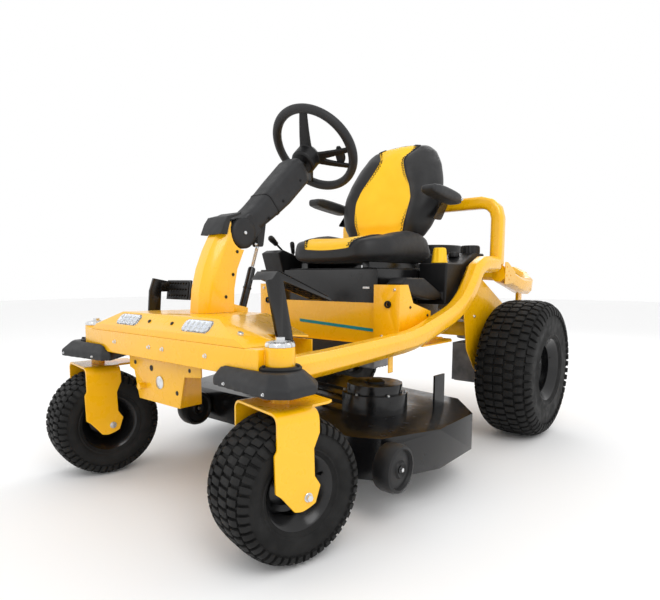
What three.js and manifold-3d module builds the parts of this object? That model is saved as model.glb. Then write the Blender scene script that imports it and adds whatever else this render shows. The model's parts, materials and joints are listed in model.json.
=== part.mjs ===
// Riding lawn mower with a steering wheel and zero-turn drive. Millimetres, +Z up, front towards -Y,
// operator's left towards +X. The design is laid out from the front swivel axes (y = 0) and the ground
// (z = 0), and the whole group is then shifted so that the origin is under the middle of the machine.
import * as THREE from 'three';
import { ConvexGeometry } from 'three/addons/geometries/ConvexGeometry.js';
import { mergeVertices } from 'three/addons/utils/BufferGeometryUtils.js';
import Module from 'manifold-3d';

const wasm = await Module();
wasm.setup();

// ---- driving dimensions ----
const MIDDLE_Y = 739.1;
const GAP = 0.4;
const WHEEL_SIDES = 24;
const SHEET = 3;

const FRONT = { track: 390.8, trail: 9, tyreR: 156, tyreHalf: 76.5, barrelR: 74, flangeR: 81, rimHalf: 62 };
const REAR = { track: 447.5, axleY: 1260.5, tyreR: 254, tyreHalf: 98, barrelR: 106, flangeR: 114, rimHalf: 90 };
const STEER = { left: -13.5, right: -9.9 };
const HUB = { outerR: 32, boreR: 20.4, stemR: 19.6, bottom: 350, top: 450 };
const BEAM = { half: 372, front: -45, rear: 22, bottom: 385, top: 445, wall: 4 };
const COVER = { lipTop: 462, bevelRear: -12, bevelHalf: 210, rear: 205, ridgeTop: 498, ridgeHalf: 142 };
const FORK = { legInner: 83, legOuter: 89, plateTop: 333, plate: 6 };
const RAIL = { x: 350, side: 58, corner: 15 };
const LAMP = { x: 150, y: -28.5, z: 480, tiltDeg: 47.5, halfWidth: 52, halfDepth: 18 };
const BRAKE = { x: 300, y: 112, z: 436 };
const DRIVE = { x: -300, y: 138, z: 452 };

const COLUMN = { wheelY: 557.4, wheelZ: 1004.1, elevation: 43.4, turn: 68, shaftR: 10 };
const PIVOT = { along: -445, drop: -22, bulbR: 43, halfWidth: 43, pinR: 8, slot: 15.4, slotR: 50 };
const RIM = { radius: 139, tube: 14.5, hubR: 36, dish: 42 };
const STRUT = { baseY: 238, baseZ: 494, topY: 305, topZ: 690, bodyR: 11, rodR: 5, bodyLength: 135 };

const SEAT = { half: 205, front: 610, rear: 1010, bottom: 645, top: 728, plateZ: 628 };
const DECK = { top: 205, bottom: 100, wall: 4, spindles: { left: [275, 515], right: [-275, 605] } };
const PULLEY = { r: 64, low: 212, high: 228, beltR: 71 };
const HOOP = { y: 1205, top: 898, half: 350, tube: 46, bend: 62 };
const BUMPER = {
  rear: 1608, bend: 85, width: 48, height: 66, corner: 14, rootZ: 609, dipZ: 556, backZ: 616,
  legIn: 300, legOut: 312, legFoot: 410,
};
const ENGINE = { y: 1345, r: 180 };
const CONSOLE = { inner: 208, outer: 312, front: 878, rear: 1178, top: 642 };
const KNOB = { x: 265, y: 915 };
const FUEL = { x: 275, y: 1135, rise: 40 };
const LIFT = { x: -300, pivot: [830, 615], grip: [655, 738], gripR: 12 };
const THROTTLE = { x: -262, pivot: [745, 612], grip: [730, 718], gripR: 9 };
const ARM = { inner: 222, outer: 282 };
const CHUTE = { front: 562, rear: 738, hingeX: -534.5, hingeZ: 190 };
const SCALP = {
  width: 50, r: 58, z: 150,
  left: { face: 532.5, y: 255, armRear: 330 },
  right: { face: -294, y: 300, armRear: 400 },
};

// ---- shape helpers ----
const point = (x, y, z) => new THREE.Vector3(x, y, z);

function signedVolume(geometry) {
  const spots = geometry.attributes.position;
  const corner = [point(0, 0, 0), point(0, 0, 0), point(0, 0, 0)];
  let volume = 0;
  for (let i = 0; i < geometry.index.count; i += 3) {
    corner.forEach((c, k) => c.fromBufferAttribute(spots, geometry.index.getX(i + k)));
    volume += corner[0].dot(corner[1].clone().cross(corner[2])) / 6;
  }
  return volume;
}

// One closed mesh with shared vertices and its faces pointing out.
function welded(geometry) {
  const bare = geometry.clone();
  bare.deleteAttribute('normal');
  bare.deleteAttribute('uv');
  const mesh = mergeVertices(bare, 1e-3);
  if (signedVolume(mesh) < 0) {
    mesh.setIndex(Array.from(mesh.index.array).reverse());
  }
  return mesh;
}

function toSolid(geometry) {
  const mesh = welded(geometry);
  const vertProperties = new Float32Array(mesh.attributes.position.array);
  const triVerts = new Uint32Array(mesh.index.array);
  return new wasm.Manifold(new wasm.Mesh({ numProp: 3, vertProperties, triVerts }));
}

function toGeometry(solid) {
  const mesh = solid.getMesh();
  const geometry = new THREE.BufferGeometry();
  geometry.setAttribute('position', new THREE.BufferAttribute(mesh.vertProperties, 3));
  geometry.setIndex(new THREE.BufferAttribute(mesh.triVerts, 1));
  return geometry;
}

const join = (...pieces) => toGeometry(pieces.map(toSolid).reduce((a, b) => a.add(b)));
const cut = (base, ...tools) => toGeometry(tools.map(toSolid).reduce((a, b) => a.subtract(b), toSolid(base)));
const hull = (points) => new ConvexGeometry(points);

function box(x0, x1, y0, y1, z0, z1) {
  const geometry = new THREE.BoxGeometry(Math.abs(x1 - x0), y1 - y0, z1 - z0);
  return geometry.translate((x0 + x1) / 2, (y0 + y1) / 2, (z0 + z1) / 2);
}

function rod(radius, from, to, sides = 16) {
  const geometry = new THREE.CylinderGeometry(radius, radius, from.distanceTo(to), sides);
  const direction = to.clone().sub(from).normalize();
  geometry.applyQuaternion(new THREE.Quaternion().setFromUnitVectors(point(0, 1, 0), direction));
  return geometry.translate((from.x + to.x) / 2, (from.y + to.y) / 2, (from.z + to.z) / 2);
}

const outlineOf = (corners) => new THREE.Shape(corners.map(([a, b]) => new THREE.Vector2(a, b)));

// An outline of (y, z) corners, from x0 to x1.
function sideSlab(corners, x0, x1) {
  const depth = Math.abs(x1 - x0);
  const geometry = new THREE.ExtrudeGeometry(outlineOf(corners), { depth, bevelEnabled: false });
  geometry.applyMatrix4(new THREE.Matrix4().makeBasis(point(0, 1, 0), point(0, 0, 1), point(1, 0, 0)));
  return geometry.translate(Math.min(x0, x1), 0, 0);
}

// An outline of (x, y) corners, from z0 to z1.
function planSlab(corners, z0, z1) {
  const geometry = new THREE.ExtrudeGeometry(outlineOf(corners), { depth: z1 - z0, bevelEnabled: false });
  return geometry.translate(0, 0, z0);
}

// A closed loop of (radius, offset) corners, turned about the X axis.
function turned(profile, sides) {
  const loop = [...profile, profile[0]].map(([r, w]) => new THREE.Vector2(r, w));
  return new THREE.LatheGeometry(loop, sides).rotateZ(-Math.PI / 2);
}

// Rings of points with the same count, joined in order and closed at both ends.
function loft(rings) {
  const count = rings[0].length;
  const spots = rings.flat();
  const faces = [];
  for (let r = 0; r + 1 < rings.length; r += 1) {
    for (let i = 0; i < count; i += 1) {
      const a = r * count + i;
      const b = r * count + ((i + 1) % count);
      faces.push(a, b, b + count, a, b + count, a + count);
    }
  }
  const last = (rings.length - 1) * count;
  for (let i = 1; i + 1 < count; i += 1) {
    faces.push(0, i + 1, i, last, last + i, last + i + 1);
  }
  const geometry = new THREE.BufferGeometry().setFromPoints(spots);
  geometry.setIndex(faces);
  return geometry;
}

// A bar of constant section through the path's points. `normal` is square to the plane of its bends.
function sweep(path, section, normal) {
  const rings = path.map((spot, i) => {
    const ahead = path[Math.min(i + 1, path.length - 1)];
    const behind = path[Math.max(i - 1, 0)];
    const along = ahead.clone().sub(behind).normalize();
    const side = normal.clone().cross(along).normalize();
    const up = along.clone().cross(side);
    return section.map(([a, b]) => spot.clone().addScaledVector(side, a).addScaledVector(up, b));
  });
  return loft(rings);
}

const smooth = (path, steps) => new THREE.CatmullRomCurve3(path, false, 'centripetal').getSpacedPoints(steps);

// Points of a quarter bend about (x, z), from +X round to +Z.
const quarterTurn = (radius) => [0, 30, 60, 90].map((degrees) => {
  const angle = THREE.MathUtils.degToRad(degrees);
  return [radius * Math.cos(angle), radius * Math.sin(angle)];
});

// A box section with cut corners, `width` across the path's side and `height` along its up.
function boxSection(width, height, corner) {
  const [w, h] = [width / 2, height / 2];
  const [a, b] = [w - corner, h - corner];
  return [[w, -b], [w, b], [a, h], [-a, h], [-w, b], [-w, -b], [-a, -h], [a, -h]];
}

// ---- materials ----
const look = (color, roughness, metalness) => new THREE.MeshStandardMaterial({ color, roughness, metalness });
const YELLOW = look(0xffc400, 0.35, 0.1);
const BLACK_PAINT = look(0x101010, 0.3, 0.2);
const GREY_PLASTIC = look(0x3a3b3d, 0.6, 0);
const BLACK_PLASTIC = look(0x1b1b1c, 0.55, 0);
const YELLOW_PLASTIC = look(0xffd000, 0.4, 0);
const RUBBER = look(0x171717, 0.9, 0);
const STEEL = look(0xb9bcc0, 0.3, 1);
const CASTING = look(0x6d7073, 0.5, 0.7);
const VINYL = look(0x2a2a2c, 0.7, 0);
const LENS = look(0xe8edf0, 0.1, 0);

const mower = new THREE.Group();
const chassis = new THREE.Group();
chassis.position.set(0, -MIDDLE_Y, 0);
mower.add(chassis);

function add(group, name, geometry, material) {
  const mesh = new THREE.Mesh(welded(geometry), material);
  mesh.name = name;
  group.add(mesh);
}

const SIDES = [{ name: 'left', s: 1 }, { name: 'right', s: -1 }];

// ---- wheels: each rests on one flat facet of its tread ----
const HALF_FACET = Math.PI / WHEEL_SIDES;

// A hollow carcass, open towards the rim between its two beads.
function tyre({ tyreR, tyreHalf, barrelR, flangeR, rimHalf }) {
  const seat = barrelR + 1;
  const bead = rimHalf - 8;
  const treadR = tyreR / Math.cos(HALF_FACET);
  const outer = [
    [seat, bead],
    [flangeR + 1, bead + 1.5],
    [flangeR + 4, rimHalf + 2],
    [flangeR + 0.35 * (tyreR - flangeR), tyreHalf],
    [tyreR - 0.22 * (tyreR - flangeR), tyreHalf - 2],
    [treadR - 4, tyreHalf - 14],
    [treadR, tyreHalf - 30],
  ];
  const inner = [[tyreR - 16, tyreHalf - 26], [flangeR + 8, rimHalf - 12], [seat, bead - 14]];
  const mirrored = (half) => half.map(([r, w]) => [r, -w]).reverse();
  return turned([...outer, ...mirrored(outer), ...mirrored(inner), ...inner], WHEEL_SIDES);
}

function rim({ barrelR, flangeR, rimHalf }, boreR, hubR, hubHalf, disc) {
  const inner = barrelR - 5;
  return turned([
    [boreR, -hubHalf], [hubR, -hubHalf], [hubR, disc - 4], [inner, disc - 4], [inner, -rimHalf + 6],
    [flangeR, -rimHalf], [flangeR, -rimHalf + 5.5], [barrelR, -rimHalf + 7.6],
    [barrelR, rimHalf - 7.6], [flangeR, rimHalf - 5.5], [flangeR, rimHalf], [inner, rimHalf - 6],
    [inner, disc + 4], [hubR, disc + 4], [hubR, hubHalf], [boreR, hubHalf],
  ], WHEEL_SIDES / 2);
}

function rearRim(s) {
  const disc = 25 * s;
  const shaft = rod(14, point(disc, 0, 0), point(-160 * s, 0, 0), 12);
  return join(rim(REAR, 10, 48, 34, disc), shaft);
}

// ---- front forks: bent plate, two legs, stem and axle bolt, in the swivel's own frame ----
function forkLeg(x0, x1) {
  const y = FRONT.trail;
  const z = FRONT.tyreR;
  return sideSlab([
    [y - 71, FORK.plateTop], [y - 71, z + 107], [y - 77, z + 97], [y - 76, z + 22], [y - 61, z + 13],
    [y - 27, z - 26], [y - 13, z - 27], [y + 19, z - 16], [y + 31, z + 19], [y + 16, z + 40],
    [y + 15, z + 97], [y + 30, z + 128], [y + 28, FORK.plateTop],
  ], x0, x1);
}

function fork() {
  const { legInner, legOuter, plateTop, plate } = FORK;
  const crown = planSlab([
    [-legOuter, -62], [legOuter, -62], [legOuter, 37], [52, 37], [44, 105],
    [-44, 105], [-52, 37], [-legOuter, 37],
  ], plateTop - plate, plateTop);
  const stem = rod(HUB.stemR, point(0, 0, plateTop - plate), point(0, 0, HUB.top - GAP));
  const boltEnd = (s) => point(s * (legOuter + 9), FRONT.trail, FRONT.tyreR);
  const bolt = rod(10, boltEnd(-1), boltEnd(1));
  return join(crown, forkLeg(legInner, legOuter), forkLeg(-legOuter, -legInner), stem, bolt);
}

function swivelCap() {
  const disc = rod(31.5, point(0, 0, HUB.top + GAP), point(0, 0, HUB.top + 11), 20);
  const nut = rod(10, point(0, 0, HUB.top + 10), point(0, 0, HUB.top + 20), 6);
  return join(disc, nut);
}

SIDES.forEach(({ name, s }) => {
  const swivel = new THREE.Group();
  swivel.position.set(s * FRONT.track, 0, 0);
  swivel.rotation.z = THREE.MathUtils.degToRad(STEER[name]);
  chassis.add(swivel);
  add(swivel, `fork_${name}`, fork(), YELLOW);
  add(swivel, `swivel_cap_${name}`, swivelCap(), STEEL);
  const frontWheel = new THREE.Group();
  frontWheel.position.set(0, FRONT.trail, FRONT.tyreR);
  frontWheel.rotation.x = HALF_FACET;
  swivel.add(frontWheel);
  add(frontWheel, `front_rim_${name}`, rim(FRONT, 10.6, 24, 80, 0), BLACK_PAINT);
  add(frontWheel, `front_tyre_${name}`, tyre(FRONT), RUBBER);

  const rearWheel = new THREE.Group();
  rearWheel.position.set(s * REAR.track, REAR.axleY, REAR.tyreR);
  rearWheel.rotation.x = HALF_FACET;
  chassis.add(rearWheel);
  add(rearWheel, `rear_rim_${name}`, rearRim(s), BLACK_PAINT);
  add(rearWheel, `rear_tyre_${name}`, tyre(REAR), RUBBER);
});

// ---- front beam, cover, lamps and bracket ----
function hubTube(s) {
  return rod(HUB.outerR, point(s * FRONT.track, 0, HUB.bottom), point(s * FRONT.track, 0, HUB.top), 16);
}

function hubBore(s) {
  return rod(HUB.boreR, point(s * FRONT.track, 0, HUB.bottom - 5), point(s * FRONT.track, 0, HUB.top + 5), 16);
}

function frontBeam() {
  const { half, front, rear, bottom, top, wall } = BEAM;
  const block = box(-half, half, front, rear, bottom, top);
  const tube = join(block, hubTube(1), hubTube(-1));
  const channel = box(-half + 40, half - 40, front + wall, rear - wall, bottom - 5, top - wall);
  return cut(tube, channel, hubBore(1), hubBore(-1));
}
add(chassis, 'front_beam', frontBeam(), YELLOW);

// Corners of the cover: a low rim, a front lip, a bevel for the lamps and a flat ridge behind it.
function coverPoints(inset) {
  const low = BEAM.top + GAP - inset;
  const { lipTop, bevelRear, bevelHalf, rear, ridgeTop, ridgeHalf } = COVER;
  return [-1, 1].flatMap((s) => [
    point(s * (332 - inset), BEAM.front + inset, low), point(s * (340 - inset), 55, low),
    point(s * (300 - inset), rear - inset, low), point(s * (300 - inset), BEAM.front + inset, lipTop - inset),
    point(s * (bevelHalf - inset), bevelRear + inset, ridgeTop - inset),
    point(s * (ridgeHalf - inset), rear - inset, ridgeTop - inset),
  ]);
}

function lampBlock(s, grow, low, high) {
  const w = LAMP.halfWidth + grow;
  const d = LAMP.halfDepth + grow;
  const c = 8;
  const shape = [[-w, c - d], [c - w, -d], [w - c, -d], [w, c - d],
    [w, d - c], [w - c, d], [c - w, d], [-w, d - c]];
  const block = planSlab(shape, low, high);
  block.rotateX(THREE.MathUtils.degToRad(LAMP.tiltDeg));
  return block.translate(s * LAMP.x, LAMP.y, LAMP.z);
}

function beamCover() {
  const shell = cut(hull(coverPoints(0)), hull(coverPoints(SHEET)));
  const pedalNotches = [-1, 1].map((s) => box(s * 287, s * 360, 62, 260, 430, 520));
  return cut(shell, lampBlock(1, GAP, -30, 30), lampBlock(-1, GAP, -30, 30), ...pedalNotches);
}
add(chassis, 'beam_cover', beamCover(), YELLOW);
SIDES.forEach(({ name, s }) => add(chassis, `headlight_${name}`, lampBlock(s, 0, -9, 3), LENS));

function frontBracket() {
  const plate = [[-195, 384], [-195, 345], [-172, 338], [-150, 262],
    [40, 262], [62, 345], [130, 352], [130, 384]];
  const face = sideSlab(plate.map(([x, z]) => [x, z - GAP]), 0, SHEET + 1);
  face.applyMatrix4(new THREE.Matrix4().makeBasis(point(0, 1, 0), point(1, 0, 0), point(0, 0, 1)));
  face.translate(0, -6, 0);
  const tray = box(-150, 40, -4, 62, 262, 266);
  const cheek = box(36, 40, -4, 62, 262, 345);
  const pin = rod(9, point(-120, -26, 300), point(-120, 30, 300), 12);
  return join(face, tray, cheek, pin);
}
add(chassis, 'front_bracket', frontBracket(), YELLOW);

function cornerGuard(s) {
  const low = [[232, -40], [246, -62], [440, -88], [476, -62], [478, 14], [452, 50], [300, 50]];
  const high = [[258, -46], [272, -50], [424, -62], [446, -44], [446, 10], [430, 30], [300, 30]];
  const ring = (outline, z) => outline.map(([x, y]) => point(s * x, y, z));
  const body = hull([...ring(low, 360), ...ring(low, 378), ...ring(high, 404)]);
  const beamRoom = box(-400, 400, BEAM.front - GAP, 90, BEAM.bottom - GAP, 460);
  const tubeRoom = rod(HUB.outerR + GAP, point(s * FRONT.track, 0, 330), point(s * FRONT.track, 0, 460), 16);
  const railRoom = box(s * 300, s * 415, 30, 90, 330, 460);
  return cut(body, beamRoom, tubeRoom, railRoom);
}
SIDES.forEach(({ name, s }) => add(chassis, `corner_guard_${name}`, cornerGuard(s), GREY_PLASTIC));

// ---- pedestal and steering column ----
const tiltAngle = THREE.MathUtils.degToRad(COLUMN.elevation - 90);
const columnFrame = new THREE.Group();
columnFrame.position.set(0, COLUMN.wheelY, COLUMN.wheelZ);
columnFrame.rotation.x = tiltAngle;
chassis.add(columnFrame);
const pivot = point(0, PIVOT.drop, PIVOT.along).applyAxisAngle(point(1, 0, 0), tiltAngle);
pivot.add(columnFrame.position);

function pedestalRing(z, front, rear) {
  const w = 39;
  return [
    point(-17, front, z), point(17, front, z), point(w - 8, front + 14, z), point(w, front + 32, z),
    point(w, rear, z), point(-w, rear, z), point(-w, front + 32, z), point(-w + 8, front + 14, z),
  ];
}

function pedestal() {
  const base = COVER.ridgeTop + GAP;
  const tower = loft([
    pedestalRing(base, 73, 178), pedestalRing(560, 79, 180), pedestalRing(615, 94, 192),
    pedestalRing(665, 116, 216), pedestalRing(712, 143, 250), pedestalRing(742, 160, 260),
  ]);
  const bulbRoom = rod(PIVOT.slotR - 3, point(-60, pivot.y, pivot.z), point(60, pivot.y, pivot.z), 24);
  const columnRoom = box(-60, 60, pivot.y - 42, 330, pivot.z - 6, 800);
  const tongue = sideSlab([
    [pivot.y - 18, pivot.z + 6], [pivot.y - 46, 640], [pivot.y - 10, 640], [pivot.y + 18, pivot.z - 4],
    [pivot.y + 14, pivot.z + 14], [pivot.y, pivot.z + 20], [pivot.y - 14, pivot.z + 14],
  ], -PIVOT.slot + GAP, PIVOT.slot - GAP);
  const pin = rod(PIVOT.pinR, point(-40, pivot.y, pivot.z), point(40, pivot.y, pivot.z));
  const ears = [-1, 1].map((s) => sideSlab([
    [170, base], [COVER.rear + 2, base], [COVER.rear + 9, base - 12], [STRUT.baseY + 10, base - 12],
    [STRUT.baseY + 10, base + 8], [170, base + 26],
  ], s * 13, s * 17));
  const strutPin = rod(4, point(-15, STRUT.baseY, STRUT.baseZ), point(15, STRUT.baseY, STRUT.baseZ), 12);
  return join(cut(tower, bulbRoom, columnRoom), tongue, pin, ...ears, strutPin);
}
add(chassis, 'pedestal', pedestal(), YELLOW);

function pedestalCap() {
  const crown = sideSlab([
    [131, 706], [144, 736], [158, 755], [190, 763.5], [206, 770], [206, 764], [190, 757], [162, 748],
    [150.5, 732], [137.5, 706],
  ], -43, 43);
  const cheek = [[135, 706], [146, 735], [160, 752], [170, 753], [156, 706]];
  const cheeks = [-1, 1].map((s) => sideSlab(cheek, s * 39.5, s * 43));
  return join(crown, ...cheeks);
}
add(chassis, 'pedestal_cap', pedestalCap(), GREY_PLASTIC);

// A rounded box section of the column shroud, at one place along the column.
function shroudRing(along, top, bottom, half) {
  const c = 0.38;
  const [flat, high, low] = [half * (1 - c), top * (1 - c), bottom * (1 - c)];
  const corners = [[-half, -high], [-flat, -top], [flat, -top], [half, -high],
    [half, low], [flat, bottom], [-flat, bottom], [-half, low]];
  return corners.map(([x, v]) => point(x, v, along));
}

function columnShroud() {
  const casing = loft([
    shroudRing(-430, 46, 12, 38), shroudRing(-400, 48, 12, 41), shroudRing(-350, 44, 22, 40),
    shroudRing(-300, 45, 31, 41), shroudRing(-240, 47, 38, 43), shroudRing(-135, 47, 40, 44),
    shroudRing(-112, 38, 30, 34),
  ]);
  const axisFrom = point(-PIVOT.halfWidth, PIVOT.drop, PIVOT.along);
  const axisTo = point(PIVOT.halfWidth, PIVOT.drop, PIVOT.along);
  const bulb = rod(PIVOT.bulbR, axisFrom, axisTo, 20);
  const slotFrom = point(-PIVOT.slot, PIVOT.drop, PIVOT.along);
  const slotTo = point(PIVOT.slot, PIVOT.drop, PIVOT.along);
  const slot = rod(PIVOT.slotR, slotFrom, slotTo, 16);
  const pinHole = rod(PIVOT.pinR + GAP, axisFrom.clone().setX(-60), axisTo.clone().setX(60));
  const shaftBore = rod(COLUMN.shaftR + GAP, point(0, 0, -170), point(0, 0, -90), 16);
  const toColumn = (y, z) => {
    const spot = point(0, y, z).sub(columnFrame.position).applyAxisAngle(point(1, 0, 0), -tiltAngle);
    return [spot.y, spot.z];
  };
  const lug = [[STRUT.topY - 22, STRUT.topZ + 70], [STRUT.topY + 26, STRUT.topZ + 70],
    [STRUT.topY + 9, STRUT.topZ - 6], [STRUT.topY - 9, STRUT.topZ - 6]].map(([y, z]) => toColumn(y, z));
  const lugs = [-1, 1].map((s) => sideSlab(lug, s * 9, s * 13));
  return cut(join(casing, bulb, ...lugs), slot, pinHole, shaftBore);
}
add(columnFrame, 'column_shroud', columnShroud(), GREY_PLASTIC);

// Spoke bars run from the dished hub to the rim. Angles are about the wheel axis, from the wheel's own +X.
function spoke(angle, width, thick) {
  const reach = RIM.radius - 6;
  const depth = -RIM.dish + 6;
  const ring = (r, z, w) => [point(r, -w, z - thick), point(r, w, z - thick), point(r, w, z), point(r, -w, z)];
  const arm = loft([ring(18, depth, width), ring(60, depth + 8, width * 0.8), ring(reach, 4, width * 0.6)]);
  return arm.rotateZ(THREE.MathUtils.degToRad(angle));
}

function steeringWheel() {
  const ring = new THREE.TorusGeometry(RIM.radius, RIM.tube, 7, 30);
  const hub = rod(RIM.hubR, point(0, 0, -RIM.dish - 40), point(0, 0, -RIM.dish + 12), 16);
  const shaft = rod(COLUMN.shaftR, point(0, 0, -165), point(0, 0, -RIM.dish - 30), 12);
  const first = COLUMN.turn - 46;
  const spokes = [[-97, 15, 14], [105, 15, 14], [-10, 10, 12], [12, 8, 12]];
  const arms = spokes.map(([turn, width, thick]) => spoke(first + turn, width, thick));
  return join(ring, hub, shaft, ...arms);
}
add(columnFrame, 'steering_wheel', steeringWheel(), BLACK_PLASTIC);

// ---- tilt strut: a cylinder on the pedestal's ears and a rod up to the column's lugs ----
const strutBase = point(0, STRUT.baseY, STRUT.baseZ);
const strutTop = point(0, STRUT.topY, STRUT.topZ);
const strutSpan = strutBase.distanceTo(strutTop);
const strutAt = (distance) => strutBase.clone().lerp(strutTop, distance / strutSpan);

function strutCylinder() {
  const eye = rod(9, point(-11, STRUT.baseY, STRUT.baseZ), point(11, STRUT.baseY, STRUT.baseZ), 12);
  const body = rod(STRUT.bodyR, strutAt(4), strutAt(STRUT.bodyLength), 16);
  const bore = rod(STRUT.rodR + GAP, strutAt(20), strutAt(STRUT.bodyLength + 5), 12);
  const pinHole = rod(4 + GAP, point(-20, STRUT.baseY, STRUT.baseZ), point(20, STRUT.baseY, STRUT.baseZ), 12);
  return cut(join(eye, body), bore, pinHole);
}

function strutRod() {
  const stem = rod(STRUT.rodR, strutAt(45), strutAt(strutSpan), 12);
  const eye = rod(7, point(-7, STRUT.topY, STRUT.topZ), point(7, STRUT.topY, STRUT.topZ), 12);
  return join(stem, eye);
}
add(chassis, 'strut_cylinder', strutCylinder(), BLACK_PAINT);
add(chassis, 'strut_rod', strutRod(), STEEL);

// ---- frame rails, hoop, bumper and rear frame ----
// Each rail runs level from the front hub, rises behind the seat frame and runs level again to the hoop.
function frameRail(s) {
  const { x, side, corner } = RAIL;
  const path = [[x + 16, 37, 391], [x + 2, 200, 391], [x - 2, 420, 399], [x - 2, 600, 410], [x, 740, 443],
    [x, 880, 487], [x, 972, 556], [x, 1012, 612], [x, 1060, 637], [x, 1120, 641],
    [x, HOOP.y - HOOP.tube / 2 - 2, 641]];
  const route = smooth(path.map(([px, py, pz]) => point(s * px, py, pz)), 22);
  const tube = sweep(route, boxSection(side, side, corner), point(1, 0, 0));
  const tab = box(s * (x - 2), s * (x + 3), 470, 492, 325, 400);
  return join(tube, tab);
}
SIDES.forEach(({ name, s }) => add(chassis, `frame_rail_${name}`, frameRail(s), YELLOW));

const bothSides = (path) => [...path, ...path.map((p) => point(-p.x, p.y, p.z)).reverse()];

function rearHoop() {
  const { y, top, half, tube, bend } = HOOP;
  const bendZ = top - tube / 2 - bend;
  const corner = quarterTurn(bend).map(([x, z]) => point(half - bend + x, y, bendZ + z));
  return sweep(bothSides([point(half, y, 640), ...corner]), boxSection(tube, tube, 8), point(0, 1, 0));
}
add(chassis, 'rear_hoop', rearHoop(), YELLOW);

// The bumper's arms dip towards its rear corners, then rise into the cross tube, which stands on two legs.
function rearBumper() {
  const { rear, bend, width, height, corner, rootZ, dipZ, backZ, legIn, legOut, legFoot } = BUMPER;
  const start = HOOP.y + HOOP.tube / 2 + GAP;
  const turn = quarterTurn(bend).map(([x, y], i) => {
    const rise = [0, 0.15, 0.5, 0.85][i];
    return point(RAIL.x - bend + x, rear - bend + y, dipZ + rise * (backZ - dipZ));
  });
  const arm = [point(RAIL.x, start, rootZ), point(RAIL.x, start + 90, rootZ - 22), point(RAIL.x, start + 200, dipZ + 6)];
  const route = bothSides([...arm, ...turn, point(120, rear, backZ)]);
  const rail = sweep(route, boxSection(width, height, corner), point(0, 0, 1));
  const legs = [-1, 1].map((s) => box(s * legIn, s * legOut, rear - 60, rear - 20, legFoot, dipZ));
  return join(rail, ...legs);
}
add(chassis, 'rear_bumper', rearBumper(), YELLOW);

function rearFrame() {
  const plate = [[985, 560], [1040, 330], [1110, 250], [1240, 170], [1360, 170], [1600, 300], [1600, 396],
    [1400, 470], [1120, 600], [1010, 600]];
  const axleRoom = rod(30, point(-400, REAR.axleY, REAR.tyreR), point(400, REAR.axleY, REAR.tyreR), 20);
  const cheeks = [-1, 1].map((s) => sideSlab(plate, s * 314, s * 319));
  const cross = [box(-316, 316, 1045, 1080, 380, 430), box(-316, 316, 1560, 1598, 330, 390)];
  return cut(join(...cheeks, ...cross), axleRoom);
}
add(chassis, 'rear_frame', rearFrame(), YELLOW);

// ---- floor, seat frame and consoles ----
function floorPan() {
  const deckPlate = box(-316, 316, COVER.rear + 2, 700, 372, 376);
  const toeBoard = box(-296, 296, COVER.rear + 2, COVER.rear + 6, 372, 440);
  return join(deckPlate, toeBoard);
}
add(chassis, 'floor_pan', floorPan(), YELLOW);

function footMat() {
  const plate = box(-225, 225, 262, 598, 376 + GAP, 382);
  const ribs = [];
  for (let y = 290; y < 590; y += 40) {
    ribs.push(box(-215, 215, y, y + 14, 380, 386));
  }
  return join(plate, ...ribs);
}
add(chassis, 'foot_mat', footMat(), RUBBER);

function seatFrame() {
  const low = 376 + GAP;
  const panel = box(-212, 212, 618, 622, low, 512);
  const cheek = [[600, low], [880, low], [880, 390], [792, 400],
    [792, 483], [680, 512], [648, 570], [600, 570]];
  const wings = [-1, 1].flatMap((s) => [
    cut(box(s * 209, s * 303, 600, 604, low, 570), rod(7, point(s * 262, 590, 510), point(s * 262, 610, 510), 16)),
    box(s * 209, s * 213, 600, 622, low, 570),
    sideSlab(cheek, s * 299, s * 303),
  ]);
  const ledges = [-1, 1].map((s) => planSlab(
    [[299, 640], [362, 640], [362, 830], [335, 880], [299, 880]].map(([x, y]) => [s * x, y]), 383, 387));
  return join(panel, ...wings, ...ledges);
}
add(chassis, 'seat_frame', seatFrame(), YELLOW);

function seatBox() {
  const shell = box(-204, 204, 626, 1030, 400, SEAT.plateZ - 8 - GAP);
  return cut(shell, box(-200, 200, 630, 1026, 390, SEAT.plateZ - 12));
}
add(chassis, 'seat_box', seatBox(), BLACK_PAINT);

function consoleLeft() {
  const { inner, outer, front, rear, top } = CONSOLE;
  const high = top + FUEL.rise;
  const side = [[front, 500], [rear, 520], [rear, high], [FUEL.y - 45, high], [1000, top], [front, top]];
  const tank = sideSlab(side, inner, outer);
  const wedge = [[650, 592], [760, 590], [882, 537], [882, 520], [800, 518], [690, 536], [618, 572]];
  const shelf = sideSlab(wedge, 240, 297);
  const knobHole = rod(15, point(KNOB.x, KNOB.y, top - 30), point(KNOB.x, KNOB.y, top + 5), 16);
  const neckHole = rod(24, point(FUEL.x, FUEL.y, high - 20), point(FUEL.x, FUEL.y, high + 20), 16);
  return cut(join(tank, shelf), knobHole, neckHole);
}
add(chassis, 'console_left', consoleLeft(), BLACK_PLASTIC);

function clutchKnob() {
  const { top } = CONSOLE;
  const { x, y } = KNOB;
  const grip = new THREE.CylinderGeometry(21, 28, 52, 16).rotateX(Math.PI / 2).translate(x, y, top + 27);
  const stem = rod(14, point(x, y, top - 25), point(x, y, top + 5), 16);
  return join(grip, stem);
}
add(chassis, 'clutch_knob', clutchKnob(), YELLOW_PLASTIC);

function fuelCap() {
  const { x, y, rise } = FUEL;
  const top = CONSOLE.top + rise;
  const lid = rod(36, point(x, y, top + GAP), point(x, y, top + 30), 20);
  const neck = rod(23, point(x, y, top - 18), point(x, y, top + 5), 16);
  return join(lid, neck);
}
add(chassis, 'fuel_cap', fuelCap(), BLACK_PLASTIC);

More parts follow.
